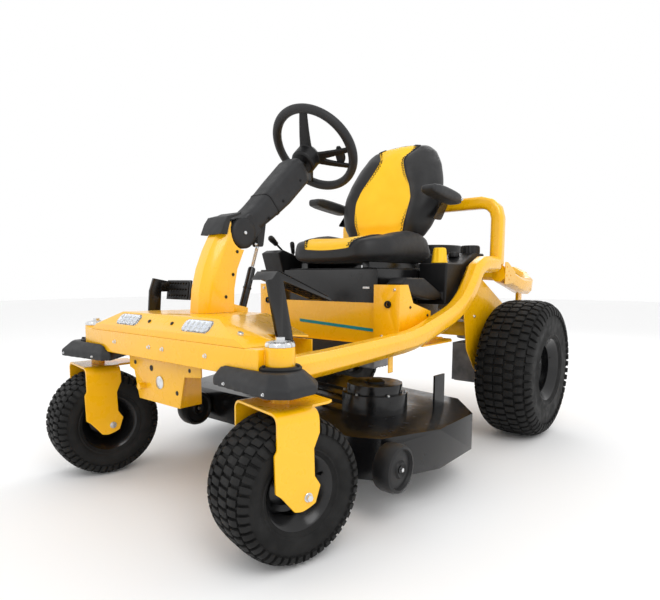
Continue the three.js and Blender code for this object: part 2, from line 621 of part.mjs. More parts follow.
function consoleRight() {
  const side = [[614, 682], [640, 606], [690, 560], [1000, 560], [1000, 640], [860, 650], [760, 660], [640, 694]];
  const body = sideSlab(side, -CONSOLE.outer, -222);
  const slots = [[LIFT.x, 850], [THROTTLE.x, 790]].map(([x, rear]) => box(x - 6, x + 6, 700, rear, 600, 720));
  return cut(body, ...slots);
}
add(chassis, 'console_right', consoleRight(), BLACK_PLASTIC);

// A flat lever in a console slot, from its pivot to its grip.
function lever({ x, pivot: [py, pz], grip: [gy, gz], gripR }) {
  const arm = rod(4, point(x, py, pz), point(x, gy, gz), 8);
  const along = point(0, gy - py, gz - pz).normalize();
  const top = point(x, gy, gz);
  const grip = rod(gripR, top.clone().addScaledVector(along, -35), top.clone().addScaledVector(along, 12), 10);
  return join(arm, grip);
}
add(chassis, 'lift_lever', lever(LIFT), BLACK_PLASTIC);
add(chassis, 'throttle_lever', lever(THROTTLE), BLACK_PLASTIC);

// ---- pedals ----

function brakePedal() {
  const { x, y, z } = BRAKE;
  const armSide = [[y - 22, z - 18], [y + 20, z - 18], [y + 20, z + 14], [y - 14, z + 158], [y - 62, z + 150]];
  const padSide = [[y - 50, z + 150], [y - 30, z + 170], [y + 162, z + 102],
    [y + 160, z + 97], [y - 26, z + 152]];
  const arm = sideSlab(armSide, x - 4, x + 4);
  const pad = sideSlab(padSide, x - 64, x + 4);
  const boss = rod(13, point(x - 4, y, z), point(x + 18, y, z), 12);
  return join(arm, pad, boss);
}
add(chassis, 'brake_pedal', brakePedal(), BLACK_PAINT);

function drivePedal() {
  const { x, y, z } = DRIVE;
  const armSide = [[y - 20, z - 16], [y + 20, z - 16], [y + 30, z + 100], [y + 60, z + 128], [y + 4, z + 138],
    [y - 10, z + 100]];
  const arm = sideSlab(armSide, x - 4, x + 4);
  const pad = sideSlab([[y + 52, z + 72], [y + 57, z + 72], [y + 66, z + 130], [y + 60, z + 132]], x - 4, x + 118);
  const boss = rod(13, point(x - 18, y, z), point(x + 4, y, z), 12);
  const bridge = sideSlab([[y + 28, z + 96], [y + 56, z + 96], [y + 60, z + 126], [y + 30, z + 124]], x - 4, x + 6);
  return join(arm, pad, boss, bridge);
}
add(chassis, 'drive_pedal', drivePedal(), BLACK_PAINT);

// ---- seat ----
const seatPlan = (half, front, rear, corner, z) => [
  point(-half + corner, front, z), point(half - corner, front, z),
  point(half - 0.3 * corner, front + 0.3 * corner, z),
  point(half, front + corner, z), point(half, rear - 40, z), point(half - 30, rear, z),
  point(-half + 30, rear, z), point(-half, rear - 40, z), point(-half, front + corner, z),
  point(-half + 0.3 * corner, front + 0.3 * corner, z),
];

function seatPlate() {
  const sheet = box(-190, 190, 640, 1004, SEAT.plateZ - 8, SEAT.plateZ - 4);
  const runners = [-1, 1].map((s) => box(s * 120, s * 150, 660, 990, SEAT.plateZ - 5, SEAT.bottom - GAP));
  return join(sheet, ...runners);
}
add(chassis, 'seat_plate', seatPlate(), BLACK_PAINT);

function seatCushion() {
  const { half, front, rear, bottom, top } = SEAT;
  return loft([
    seatPlan(half - 16, front + 18, rear - 14, 95, bottom), seatPlan(half, front, rear, 100, bottom + 14),
    seatPlan(half, front, rear, 100, bottom + 52), seatPlan(half - 14, front + 14, rear - 10, 95, top - 12),
    seatPlan(half - 45, front + 48, rear - 40, 80, top),
  ]);
}
add(chassis, 'seat_cushion', seatCushion(), VINYL);

function seatBack() {
  const rows = [[732, 150, 930, 1010], [760, 178, 920, 1030], [830, 208, 936, 1060], [900, 212, 958, 1088],
    [960, 203, 980, 1106], [1020, 184, 1006, 1124], [1070, 155, 1032, 1134], [1096, 124, 1050, 1134],
    [1108, 84, 1068, 1120]];
  return loft(rows.map(([z, half, front, rear]) => [
    point(-half, front + 30, z), point(-half * 0.8, front + 6, z),
    point(half * 0.8, front + 6, z), point(half, front + 30, z),
    point(half, rear - 30, z), point(half * 0.75, rear, z),
    point(-half * 0.75, rear, z), point(-half, rear - 30, z),
  ]));
}
add(chassis, 'seat_back', seatBack(), VINYL);

function armrest(s) {
  const side = [[838, 884], [842, 904], [905, 904], [1000, 894], [1062, 888], [1066, 858], [1030, 852],
    [905, 866], [850, 874]];
  return sideSlab(side, s * ARM.inner, s * ARM.outer);
}
SIDES.forEach(({ name, s }) => add(chassis, `armrest_${name}`, armrest(s), GREY_PLASTIC));

// ---- mowing deck: two staggered blades under one shell ----

function deckOutline(inset) {
  const left = [[405, 797], [522, 649], [529, 444], [462, 271], [393, 238]];
  const right = [[-20, 238], [-100, 360], [-400, 360], [-480, 400],
    [-529, 560], [-522, 760], [-430, 880], [-120, 880]];
  const shrink = ([x, y]) => {
    const dx = x > -60 ? 120 - x : -275 - x;
    const dy = x > -60 ? 515 - y : 615 - y;
    return [x + inset * Math.sign(dx), y + inset * Math.sign(dy)];
  };
  return [...left, ...right].map(shrink);
}

function spindleCover([x, y]) {
  const drum = (radius, z0, z1) => rod(radius, point(x, y, z0), point(x, y, z1), 16);
  const shell = join(drum(97, DECK.top - 1, 258), drum(82, 257, 284));
  const room = join(drum(92, DECK.top - 8, 254), drum(77, 250, 280));
  return [shell, room];
}

function scalpBracket(name) {
  const { face, y, armRear } = SCALP[name];
  const inner = face - SCALP.width - 4;
  return join(
    box(inner - 6, inner, y - 16, armRear, SCALP.z - 16, SCALP.z + 34),
    rod(8, point(inner - 4, y, SCALP.z), point(face - 4, y, SCALP.z), 12),
  );
}

function beltTunnel() {
  const [[xl, yl], [xr, yr]] = [DECK.spindles.left, DECK.spindles.right];
  const reach = 80;
  return planSlab([[xl, yl - reach], [xl, yl + reach], [xr, yr + reach], [xr, yr - reach]], DECK.top - 1, 240);
}

function deckShell() {
  const { top, bottom, wall, spindles } = DECK;
  const covers = Object.values(spindles).map(spindleCover);
  const outside = join(planSlab(deckOutline(0), bottom, top), ...covers.map(([shell]) => shell));
  const chamber = planSlab(deckOutline(wall), bottom - 5, top - wall);
  const rooms = covers.map(([, room]) => room);
  const shaftHoles = Object.values(spindles).map(([x, y]) => rod(15, point(x, y, 150), point(x, y, 230), 16));
  const chuteHole = box(-560, -505, 560, 740, bottom - 5, top - 30);
  const hangers = [box(400, 406, 640, 700, top - 2, 300), box(-406, -400, 640, 700, top - 2, 300)];
  const shell = cut(outside, chamber, beltTunnel(), ...rooms, ...shaftHoles, chuteHole);
  const floor = cut(planSlab(deckOutline(0), top - wall, top), ...shaftHoles);
  return join(shell, floor, scalpBracket('left'), scalpBracket('right'), ...hangers);
}
add(chassis, 'deck_shell', deckShell(), BLACK_PAINT);

function scalpWheel() {
  const { r, width } = SCALP;
  const h = width / 2;
  return turned([[8.6, -h + 4], [20, -h], [r - 9, -h], [r, -h + 10],
    [r, h - 10], [r - 9, h], [22, h], [8.6, h - 8]], 16);
}
SIDES.forEach(({ name }) => {
  const { face, y } = SCALP[name];
  const wheel = scalpWheel().translate(face - SCALP.width / 2, y, SCALP.z);
  add(chassis, `scalp_wheel_${name}`, wheel, BLACK_PLASTIC);
});

function spindle([x, y], bladeTurn) {
  const shaft = rod(12, point(x, y, 112), point(x, y, 245), 12);
  const pulley = rod(PULLEY.r, point(x, y, PULLEY.low), point(x, y, PULLEY.high), 20);
  const blade = box(-30, 30, -236, 236, 114, 118).rotateZ(bladeTurn).translate(x, y, 0);
  return join(shaft, pulley, blade);
}
SIDES.forEach(({ name, s }) => add(chassis, `spindle_${name}`, spindle(DECK.spindles[name], s * 0.6), CASTING));

// The belt's straight runs are tangent to both pulleys, so each half turns by the line between their centres.
function deckBelt() {
  const [[xl, yl], [xr, yr]] = [DECK.spindles.left, DECK.spindles.right];
  const tilt = Math.atan2(yl - yr, xl - xr);
  const arc = (x, y, radius, start) => {
    const points = [];
    for (let i = 0; i <= 12; i += 1) {
      const a = start + tilt + (i / 12) * Math.PI;
      points.push([x + radius * Math.cos(a), y + radius * Math.sin(a)]);
    }
    return points;
  };
  const track = (radius) => [...arc(xl, yl, radius, -Math.PI / 2), ...arc(xr, yr, radius, Math.PI / 2)];
  const outline = outlineOf(track(PULLEY.beltR));
  outline.holes.push(new THREE.Path(track(PULLEY.r + 1).map(([x, y]) => new THREE.Vector2(x, y))));
  const loop = new THREE.ExtrudeGeometry(outline, { depth: 10, bevelEnabled: false });
  return loop.translate(0, 0, PULLEY.low + 3);
}
add(chassis, 'deck_belt', deckBelt(), RUBBER);

function chuteFlap() {
  const { front, rear, hingeX, hingeZ } = CHUTE;
  const sheet = sideSlab([[-535, 188], [-532, 188], [-541, 106], [-545, 106]], 0, rear - front);
  sheet.applyMatrix4(new THREE.Matrix4().makeBasis(point(0, 1, 0), point(1, 0, 0), point(0, 0, 1)));
  sheet.translate(0, front, 0);
  const hinge = rod(4, point(hingeX, front, hingeZ), point(hingeX, rear, hingeZ), 10);
  return join(sheet, hinge);
}
add(chassis, 'chute_flap', chuteFlap(), BLACK_PLASTIC);

// ---- engine and drive ----
add(chassis, 'engine_block', box(-165, 165, ENGINE.y - 150, ENGINE.y + 160, 460, 600), CASTING);

function engineShroud() {
  const low = rod(ENGINE.r, point(0, ENGINE.y, 600 + GAP), point(0, ENGINE.y, 690), 24);
  const high = rod(ENGINE.r - 50, point(0, ENGINE.y, 680), point(0, ENGINE.y, 730), 24);
  return join(low, high);
}
add(chassis, 'engine_shroud', engineShroud(), BLACK_PLASTIC);

function muffler() {
  const y = ENGINE.y + 158;
  const can = rod(48, point(-140, y, 404), point(140, y, 404), 16);
  const stub = rod(14, point(60, y, 404), point(60, y - 30, 444), 10);
  const outlet = rod(15, point(130, y, 404), point(165, y, 404), 12);
  return join(can, stub, outlet);
}
add(chassis, 'muffler', muffler(), STEEL);

function crankPulley() {
  const wheel = rod(70, point(0, ENGINE.y - 40, 405), point(0, ENGINE.y - 40, 428), 24);
  const shaft = rod(13, point(0, ENGINE.y - 40, 400), point(0, ENGINE.y - 40, 460 - GAP), 12);
  return join(wheel, shaft);
}
add(chassis, 'crank_pulley', crankPulley(), CASTING);

function transaxle(s) {
  const body = box(s * 190, s * 285, REAR.axleY - 75, REAR.axleY + 75, 185, 335);
  const nose = rod(34, point(s * 280, REAR.axleY, REAR.tyreR), point(s * 305, REAR.axleY, REAR.tyreR), 12);
  const bore = rod(15, point(s * 250, REAR.axleY, REAR.tyreR), point(s * 330, REAR.axleY, REAR.tyreR), 12);
  const stem = rod(11, point(s * 238, REAR.axleY, 330), point(s * 238, REAR.axleY, 375), 12);
  const fan = rod(60, point(s * 238, REAR.axleY, 350), point(s * 238, REAR.axleY, 362), 12);
  return cut(join(body, nose, stem, fan), bore);
}
SIDES.forEach(({ name, s }) => add(chassis, `transaxle_${name}`, transaxle(s), CASTING));

export default mower;
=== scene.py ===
"""Looks for a riding lawn mower with a steering wheel: detailed pieces, materials, studio and camera.

Metres, +Z up, front towards -Y, operator's left towards +X. Places are given by at(x, y, z), with y
measured backwards from the front fork swivels, which is how the machine's own frame is laid out.
"""

import json
import math

import bmesh
import bpy
import numpy as np
from mathutils import Matrix, Vector


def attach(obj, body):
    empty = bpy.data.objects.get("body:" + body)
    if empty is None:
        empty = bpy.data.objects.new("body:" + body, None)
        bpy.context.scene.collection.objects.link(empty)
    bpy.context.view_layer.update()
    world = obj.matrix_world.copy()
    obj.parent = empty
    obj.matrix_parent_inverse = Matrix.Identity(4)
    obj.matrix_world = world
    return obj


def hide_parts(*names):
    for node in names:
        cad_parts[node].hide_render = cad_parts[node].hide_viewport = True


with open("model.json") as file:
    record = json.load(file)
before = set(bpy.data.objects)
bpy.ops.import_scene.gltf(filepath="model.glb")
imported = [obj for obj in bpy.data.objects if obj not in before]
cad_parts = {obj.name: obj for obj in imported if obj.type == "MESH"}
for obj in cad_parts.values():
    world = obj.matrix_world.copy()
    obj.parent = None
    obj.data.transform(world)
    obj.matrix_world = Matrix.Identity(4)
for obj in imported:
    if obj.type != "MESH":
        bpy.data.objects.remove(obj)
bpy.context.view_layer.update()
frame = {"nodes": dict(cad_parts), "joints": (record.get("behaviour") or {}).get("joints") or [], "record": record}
JOINTS = {joint["name"]: joint for joint in frame["joints"]}
RECORD = frame["record"]
NODE_BODY = {node: body for body, nodes in RECORD["behaviour"]["bodies"].items() for node in nodes}
NODE_SLOT = {part["node"]: part["material_slot"] for part in RECORD["subparts"]}
SWIVEL_Y = JOINTS["fork_swivel_left"]["pos_m"][1]
SWIVEL_X = 0.3908
SIDES = (("left", 1), ("right", -1))


def at(x, y, z):
    return Vector((x, y + SWIVEL_Y, z))


# ---- camera ----
CAMERA = {"place": (1.1489, -0.7654, 0.5903), "azimuth": 41.41, "elevation": 6.17, "lens": 28.71,
          "shift": (0.030, 0.053)}


def make_camera():
    data = bpy.data.cameras.new("camera")
    data.sensor_width = 36
    data.lens = CAMERA["lens"]
    data.shift_x, data.shift_y = CAMERA["shift"]
    camera = bpy.data.objects.new("camera", data)
    bpy.context.scene.collection.objects.link(camera)
    camera.location = at(*CAMERA["place"])
    camera.rotation_euler = (math.radians(90 - CAMERA["elevation"]), 0, math.radians(CAMERA["azimuth"]))
    bpy.context.scene.camera = camera


make_camera()


# ---- materials ----
def new_material(name, colour, roughness, metallic=0.0, **sockets):
    material = bpy.data.materials.new(name)
    material.use_nodes = True
    shader = material.node_tree.nodes["Principled BSDF"]
    shader.inputs["Base Color"].default_value = (*colour, 1)
    shader.inputs["Roughness"].default_value = roughness
    shader.inputs["Metallic"].default_value = metallic
    for socket, value in sockets.items():
        shader.inputs[socket.replace("_", " ")].default_value = value
    return material


def add_node(material, kind, **values):
    node = material.node_tree.nodes.new(kind)
    for key, value in values.items():
        if key in node.inputs:
            node.inputs[key].default_value = value
        else:
            setattr(node, key, value)
    return node


def link(material, source, target):
    material.node_tree.links.new(source, target)


def noise_of(material, scale, detail=3.0, stretch=(1, 1, 1)):
    place = add_node(material, "ShaderNodeTexCoord")
    mapping = add_node(material, "ShaderNodeMapping", Scale=stretch)
    noise = add_node(material, "ShaderNodeTexNoise", Scale=scale, Detail=detail)
    link(material, place.outputs["Object"], mapping.inputs["Vector"])
    link(material, mapping.outputs["Vector"], noise.inputs["Vector"])
    return noise.outputs["Fac"]


def cells_of(material, scale):
    place = add_node(material, "ShaderNodeTexCoord")
    cells = add_node(material, "ShaderNodeTexVoronoi", Scale=scale)
    link(material, place.outputs["Object"], cells.inputs["Vector"])
    return cells.outputs["Distance"]


def vary_colour(material, factor, low, high):
    """Colour runs from low to high with the factor, over its middle range."""
    ramp = add_node(material, "ShaderNodeValToRGB")
    ramp.color_ramp.elements[0].position = 0.3
    ramp.color_ramp.elements[1].position = 0.7
    ramp.color_ramp.elements[0].color = (*low, 1)
    ramp.color_ramp.elements[1].color = (*high, 1)
    link(material, factor, ramp.inputs["Fac"])
    link(material, ramp.outputs["Color"], material.node_tree.nodes["Principled BSDF"].inputs["Base Color"])


def vary_roughness(material, factor, low, high):
    spread = add_node(material, "ShaderNodeMapRange")
    spread.inputs["From Min"].default_value = 0.3
    spread.inputs["From Max"].default_value = 0.7
    spread.inputs["To Min"].default_value = low
    spread.inputs["To Max"].default_value = high
    link(material, factor, spread.inputs["Value"])
    link(material, spread.outputs["Result"], material.node_tree.nodes["Principled BSDF"].inputs["Roughness"])


def add_bump(material, factor, strength, distance):
    bump = add_node(material, "ShaderNodeBump", Strength=strength, Distance=distance)
    link(material, factor, bump.inputs["Height"])
    link(material, bump.outputs["Normal"], material.node_tree.nodes["Principled BSDF"].inputs["Normal"])


def yellow_paint():
    paint = new_material("yellow_paint", (1, 0.55, 0.0), 0.25, Coat_Weight=0.5, Coat_Roughness=0.12)
    vary_colour(paint, noise_of(paint, 2.5), (0.94, 0.47, 0.0), (0.98, 0.52, 0.0))
    vary_roughness(paint, noise_of(paint, 35), 0.24, 0.34)
    add_bump(paint, noise_of(paint, 380, 1), 0.08, 0.0006)
    return paint


def gloss_black():
    paint = new_material("gloss_black_paint", (0.004, 0.004, 0.004), 0.25, Specular_IOR_Level=0.45)
    vary_colour(paint, noise_of(paint, 6), (0.003, 0.003, 0.0035), (0.006, 0.006, 0.0065))
    vary_roughness(paint, noise_of(paint, 28), 0.16, 0.28)
    add_bump(paint, noise_of(paint, 420, 1), 0.1, 0.0006)
    return paint


def moulded(name, low, high, roughness, grain):
    plastic = new_material(name, low, roughness, Specular_IOR_Level=0.3)
    vary_colour(plastic, noise_of(plastic, 9), low, high)
    vary_roughness(plastic, noise_of(plastic, 60), roughness - 0.06, roughness + 0.08)
    add_bump(plastic, noise_of(plastic, grain, 2), 0.35, 0.0008)
    return plastic


def tyre_rubber():
    rubber = new_material("tyre_rubber", (0.01, 0.01, 0.01), 0.7, Specular_IOR_Level=0.22)
    vary_colour(rubber, noise_of(rubber, 14, 6), (0.006, 0.006, 0.006), (0.015, 0.0148, 0.0145))
    vary_roughness(rubber, noise_of(rubber, 40), 0.55, 0.8)
    add_bump(rubber, noise_of(rubber, 260, 4), 0.3, 0.001)
    return rubber


def vinyl(name, low, high, roughness):
    """Pebbled vinyl: small raised cells over a slower unevenness."""
    cloth = new_material(name, low, roughness, Sheen_Weight=0.05, Specular_IOR_Level=0.35)
    vary_colour(cloth, noise_of(cloth, 12), low, high)
    vary_roughness(cloth, noise_of(cloth, 45), roughness - 0.05, roughness + 0.08)
    add_bump(cloth, cells_of(cloth, 420), 0.35, 0.0012)
    return cloth


def metal(name, colour, roughness, stretch):
    steel = new_material(name, colour, roughness, 1.0)
    vary_roughness(steel, noise_of(steel, 300, 2, stretch), roughness - 0.08, roughness + 0.1)
    add_bump(steel, noise_of(steel, 500, 2, stretch), 0.08, 0.0004)
    return steel


def cast_metal():
    casting = new_material("cast_metal", (0.3, 0.3, 0.31), 0.5, 0.8)
    vary_colour(casting, noise_of(casting, 20), (0.2, 0.2, 0.21), (0.36, 0.36, 0.37))
    add_bump(casting, noise_of(casting, 350, 4), 0.35, 0.001)
    return casting


def clear_lens():
    lens = new_material("clear_lens", (0.95, 0.97, 1.0), 0.08, Transmission_Weight=0.9, IOR=1.3)
    vary_roughness(lens, noise_of(lens, 30), 0.04, 0.14)
    return lens


YELLOW = yellow_paint()
BLACK = gloss_black()
GREY = moulded("dark_grey_plastic", (0.016, 0.0165, 0.018), (0.026, 0.0265, 0.028), 0.5, 700)
PLASTIC = moulded("black_plastic", (0.004, 0.004, 0.0045), (0.009, 0.009, 0.0095), 0.42, 600)
KNOB = moulded("yellow_plastic", (0.95, 0.52, 0.0), (1.0, 0.58, 0.01), 0.38, 300)
TYRE = tyre_rubber()
MAT = moulded("mat_rubber", (0.006, 0.006, 0.006), (0.012, 0.012, 0.012), 0.7, 500)
VINYL_BLACK = vinyl("black_vinyl", (0.008, 0.008, 0.009), (0.014, 0.014, 0.015), 0.46)
VINYL_YELLOW = vinyl("yellow_vinyl", (0.98, 0.54, 0.0), (1.0, 0.60, 0.01), 0.48)
STEEL = metal("bright_steel", (0.72, 0.73, 0.74), 0.28, (1, 1, 0.1))
CASTING = cast_metal()
LENS = clear_lens()
THREAD = moulded("stitching_thread", (0.012, 0.012, 0.012), (0.03, 0.03, 0.03), 0.8, 900)
TEAL = moulded("teal_stripe", (0.0, 0.22, 0.26), (0.0, 0.27, 0.31), 0.4, 200)
SLOT_MATERIAL = {
    "yellow_paint": YELLOW, "black_paint": BLACK, "grey_plastic": GREY, "black_plastic": PLASTIC,
    "yellow_plastic": KNOB, "tyre": TYRE, "rubber": MAT, "steel": STEEL, "casting": CASTING,
    "vinyl": VINYL_BLACK, "lens": LENS,
}
for node_name, node_object in frame["nodes"].items():
    node_object.data.materials.clear()
    node_object.data.materials.append(SLOT_MATERIAL[NODE_SLOT[node_name]])


# ---- mesh helpers ----
def make(name, bm, node, material=None, stands_for=True, sharp=40):
    """Turns a bmesh into a piece on the node's body. It stands for the node unless told otherwise."""
    bmesh.ops.recalc_face_normals(bm, faces=bm.faces)
    mesh = bpy.data.meshes.new(name)
    bm.to_mesh(mesh)
    bm.free()
    mesh.materials.append(material or SLOT_MATERIAL[NODE_SLOT[node]])
    mesh.shade_smooth()
    mesh.set_sharp_from_angle(angle=math.radians(sharp))
    piece = bpy.data.objects.new(name, mesh)
    bpy.context.scene.collection.objects.link(piece)
    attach(piece, NODE_BODY[node])
    if stands_for:
        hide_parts(node)
    return piece


def bevel(piece, width, segments=2, angle=35):
    modifier = piece.modifiers.new("bevel", "BEVEL")
    modifier.width = width
    modifier.segments = segments
    modifier.limit_method = "ANGLE"
    modifier.angle_limit = math.radians(angle)
    modifier.harden_normals = True
    for edge in piece.data.edges:
        edge.use_edge_sharp = False
    return piece


def subdivide(piece, levels):
    modifier = piece.modifiers.new("subdivision", "SUBSURF")
    modifier.levels = levels
    modifier.render_levels = levels
    return piece


def soften(node, width, segments=2, angle=35, material=None):
    """A copy of a CAD node with its edges rounded, which stands for the node."""
    bm = bmesh.new()
    bm.from_mesh(frame["nodes"][node].data)
    bmesh.ops.remove_doubles(bm, verts=bm.verts, dist=1e-5)
    bmesh.ops.dissolve_limit(bm, angle_limit=math.radians(1.5), verts=bm.verts, edges=bm.edges)
    return bevel(make(f"{node}_soft", bm, node, material), width, segments, angle)


def join_rings(bm, rings, closed=True, caps=True):
    """Faces between rings of points, with a cap on the first and last unless told otherwise."""
    rows = [[bm.verts.new(spot) for spot in ring] for ring in rings]
    count = len(rows[0])
    span = count if closed else count - 1
    for low, high in zip(rows, rows[1:]):
        for i in range(span):
            j = (i + 1) % count
            bm.faces.new((low[i], low[j], high[j], high[i]))
    if caps:
        bm.faces.new(rows[0][::-1])
        bm.faces.new(rows[-1])
    return rows


def loft(rings):
    bm = bmesh.new()
    join_rings(bm, rings)
    return bm


def lathe(bm, profile, place=Matrix.Identity(4), segments=64, closed=True):
    """Turns (radius, offset) pairs about the X axis of place. A closed profile makes a ring."""
    rows = []
    for radius, offset in profile:
        ring = []
        for i in range(segments):
            angle = 2 * math.pi * i / segments
            spot = Vector((offset, radius * math.cos(angle), radius * math.sin(angle)))
            ring.append(bm.verts.new(place @ spot))
        rows.append(ring)
    pairs = list(zip(rows, rows[1:]))
    if closed:
        pairs.append((rows[-1], rows[0]))
    for low, high in pairs:
        for i in range(segments):
            j = (i + 1) % segments
            bm.faces.new((low[i], low[j], high[j], high[i]))
    if not closed:
        bm.faces.new(rows[0][::-1])
        bm.faces.new(rows[-1])


def spun(profile, place=Matrix.Identity(4), segments=64, closed=False):
    bm = bmesh.new()
    lathe(bm, profile, place, segments, closed)
    return bm


def frame_at(centre, along):
    """A matrix at centre whose X axis runs along the direction."""
    direction = Vector(along).normalized()
    return Matrix.Translation(centre) @ direction.to_track_quat("X", "Z").to_matrix().to_4x4()


def rod(bm, start, end, radius, sides=24, chamfer=0.0):
    """A cylinder between two points, with a chamfer at both ends."""
    length = (end - start).length
    place = frame_at(start, end - start)
    profile = [(radius, 0), (radius, length)]
    if chamfer:
        profile = [(radius - chamfer, 0), (radius, chamfer), (radius, length - chamfer),
                   (radius - chamfer, length)]
    lathe(bm, profile, place, sides, closed=False)


def hex_bolt(bm, centre, along, size, height):
    """A hex head with a washer, standing out from centre along the direction."""
    direction = Vector(along).normalized()
    rod(bm, centre, centre + direction * height * 0.25, size * 0.78, 24, size * 0.05)
    rod(bm, centre + direction * height * 0.2, centre + direction * height, size * 0.58, 6, size * 0.06)


def fillet(corners, radius, steps=4):
    """A closed outline with each corner rounded by up to radius."""
    rounded = []
    count = len(corners)
    for i, corner in enumerate(corners):
        here = Vector(corner)
        before = Vector(corners[i - 1]) - here
        after = Vector(corners[(i + 1) % count]) - here
        reach_in = min(radius, before.length * 0.45)
        reach_out = min(radius, after.length * 0.45)
        start = here + before.normalized() * reach_in
        end = here + after.normalized() * reach_out
        for k in range(steps + 1):
            t = k / steps
            rounded.append(start * (1 - t) ** 2 + here * 2 * t * (1 - t) + end * t * t)
    return rounded


def side_slab(bm, outline, x0, x1):
    """An outline of (y, z), from x0 to x1."""
    join_rings(bm, [[at(x, y, z) for y, z in outline] for x in (x0, x1)])


def plan_slab(bm, outline, z0, z1):
    join_rings(bm, [[at(x, y, z) for x, y in outline] for z in (z0, z1)])


def front_slab(bm, outline, y0, y1):
    """An outline of (x, z), from y0 to y1."""
    join_rings(bm, [[at(x, y, z) for x, z in outline] for y in (y0, y1)])


def block(bm, x0, x1, y0, y1, z0, z1):
    plan_slab(bm, [(x0, y0), (x1, y0), (x1, y1), (x0, y1)], z0, z1)


def circle(radius, sides=24):
    turns = [2 * math.pi * i / sides for i in range(sides)]
    return [(radius * math.cos(turn), radius * math.sin(turn)) for turn in turns]


def rounded_square(width, height, corner, steps=4):
    w, h = width / 2, height / 2
    return [tuple(p) for p in fillet([(w, -h), (w, h), (-w, h), (-w, -h)], corner, steps)]


def quarter(centre, radius, steps, axes):
    """Points of a quarter bend about centre, from the first axis round to the second."""
    first, second = (Vector(axis) for axis in axes)
    turns = [math.pi / 2 * i / steps for i in range(steps + 1)]
    return [centre + (first * math.cos(turn) + second * math.sin(turn)) * radius for turn in turns]


def interpolate(table, value):
    """Straight-line lookup in (key, result) pairs with rising keys."""
    keys, results = zip(*table)
    return float(np.interp(value, keys, results))


# ---- wheels ----
FRONT_WHEEL = {"half": 0.0765, "radius": 0.156, "flange": 0.081, "rim_half": 0.062, "rows": 46, "lug": 0.0068,
               "columns": ((0.03, 0.45, 0.5, 0.06), (0.50, 0.80, 0.0, -0.06), (0.84, 0.985, 0.5, 0.0))}
REAR_WHEEL = {"half": 0.098, "radius": 0.254, "flange": 0.114, "rim_half": 0.090, "rows": 50, "lug": 0.0085,
              "columns": ((-0.16, 0.16, 0.0, 0.0), (0.20, 0.52, 0.5, 0.06), (0.56, 0.80, 0.0, -0.06),
                          (0.84, 0.985, 0.5, 0.0))}
BLOCK_LENGTH = 0.76


def wheel_place(joint):
    """The wheel's centre and axle direction, as a matrix with X along the axle."""
    return frame_at(Vector(JOINTS[joint]["pos_m"]), JOINTS[joint]["axis"])


def carcass_point(wheel, share):
    """(radius, offset) and the outward direction on the carcass, share running -1..1 across the tread."""
    half = wheel["half"] - 0.002
    crown = wheel["radius"] - wheel["lug"]
    widest = wheel["flange"] + 0.38 * (crown - wheel["flange"])

    def spot(value):
        turn = math.acos(max(-1.0, min(1.0, math.copysign(value * value, value))))
        return Vector((widest + (crown - widest) * math.sin(turn) ** 0.55, half * value))

    here = spot(share)
    step = spot(min(share + 0.01, 1.0)) - spot(max(share - 0.01, -1.0))
    return here, Vector((step.y, -step.x)).normalized()


def carcass_profile(wheel):
    half, flange, rim_half = wheel["half"] - 0.002, wheel["flange"], wheel["rim_half"]
    crown = wheel["radius"] - wheel["lug"]
    widest = flange + 0.38 * (crown - flange)
    shares = [math.cos(math.pi * (i / 28)) for i in range(1, 28)]
    top = [tuple(carcass_point(wheel, math.copysign(abs(s) ** 0.5, s))[0]) for s in shares]
    side = [(flange + 0.004, rim_half + 0.001), (flange + 0.009, rim_half + 0.006),
            (flange + 0.012, rim_half + 0.006), (flange + 0.016, rim_half + 0.0085),
            ((flange + widest) / 2 + 0.004, half - 0.003), (widest, half)]
    inner = [(flange - 0.006, rim_half - 0.004)]
    other = [(r, -w) for r, w in reversed(inner + side)]
    return inner + side + top + other


def tread_lug(bm, wheel, place, low, high, start, width, slant):
    """One block of the tread between two shares across it, standing out from the carcass."""
    steps = 5
    rings = []
    for i in range(steps + 1):
        share = low + (high - low) * i / steps
        spot, out = carcass_point(wheel, share)
        turn = start + slant * (i / steps - 0.5) * width
        trim = (0.14 if i in (0, steps) else 0.08) * width
        lift = wheel["lug"] * (0.82 if i in (0, steps) else 1.0)
        foot, crest = spot - out * 0.002, spot + out * lift
        ring = []
        for (r, w), angle in ((foot, turn), (crest, turn + trim), (crest, turn + width - trim),
                              (foot, turn + width)):
            ring.append(place @ Vector((w, r * math.cos(angle), r * math.sin(angle))))
        rings.append(ring)
    join_rings(bm, rings)


def tyre(side, which, wheel):
    place = wheel_place(f"{which}_spin_{side}")
    bm = bmesh.new()
    lathe(bm, carcass_profile(wheel), place, 96)
    pitch = 2 * math.pi / wheel["rows"]
    for low, high, phase, slant in wheel["columns"]:
        for row in range(wheel["rows"]):
            start = (row + phase) * pitch
            tread_lug(bm, wheel, place, low, high, start, pitch * BLOCK_LENGTH, slant)
            if low > 0:
                tread_lug(bm, wheel, place, -low, -high, start + pitch / 2, pitch * BLOCK_LENGTH, -slant)
    make(f"{which}_tyre_tread_{side}", bm, f"{which}_tyre_{side}", sharp=32)


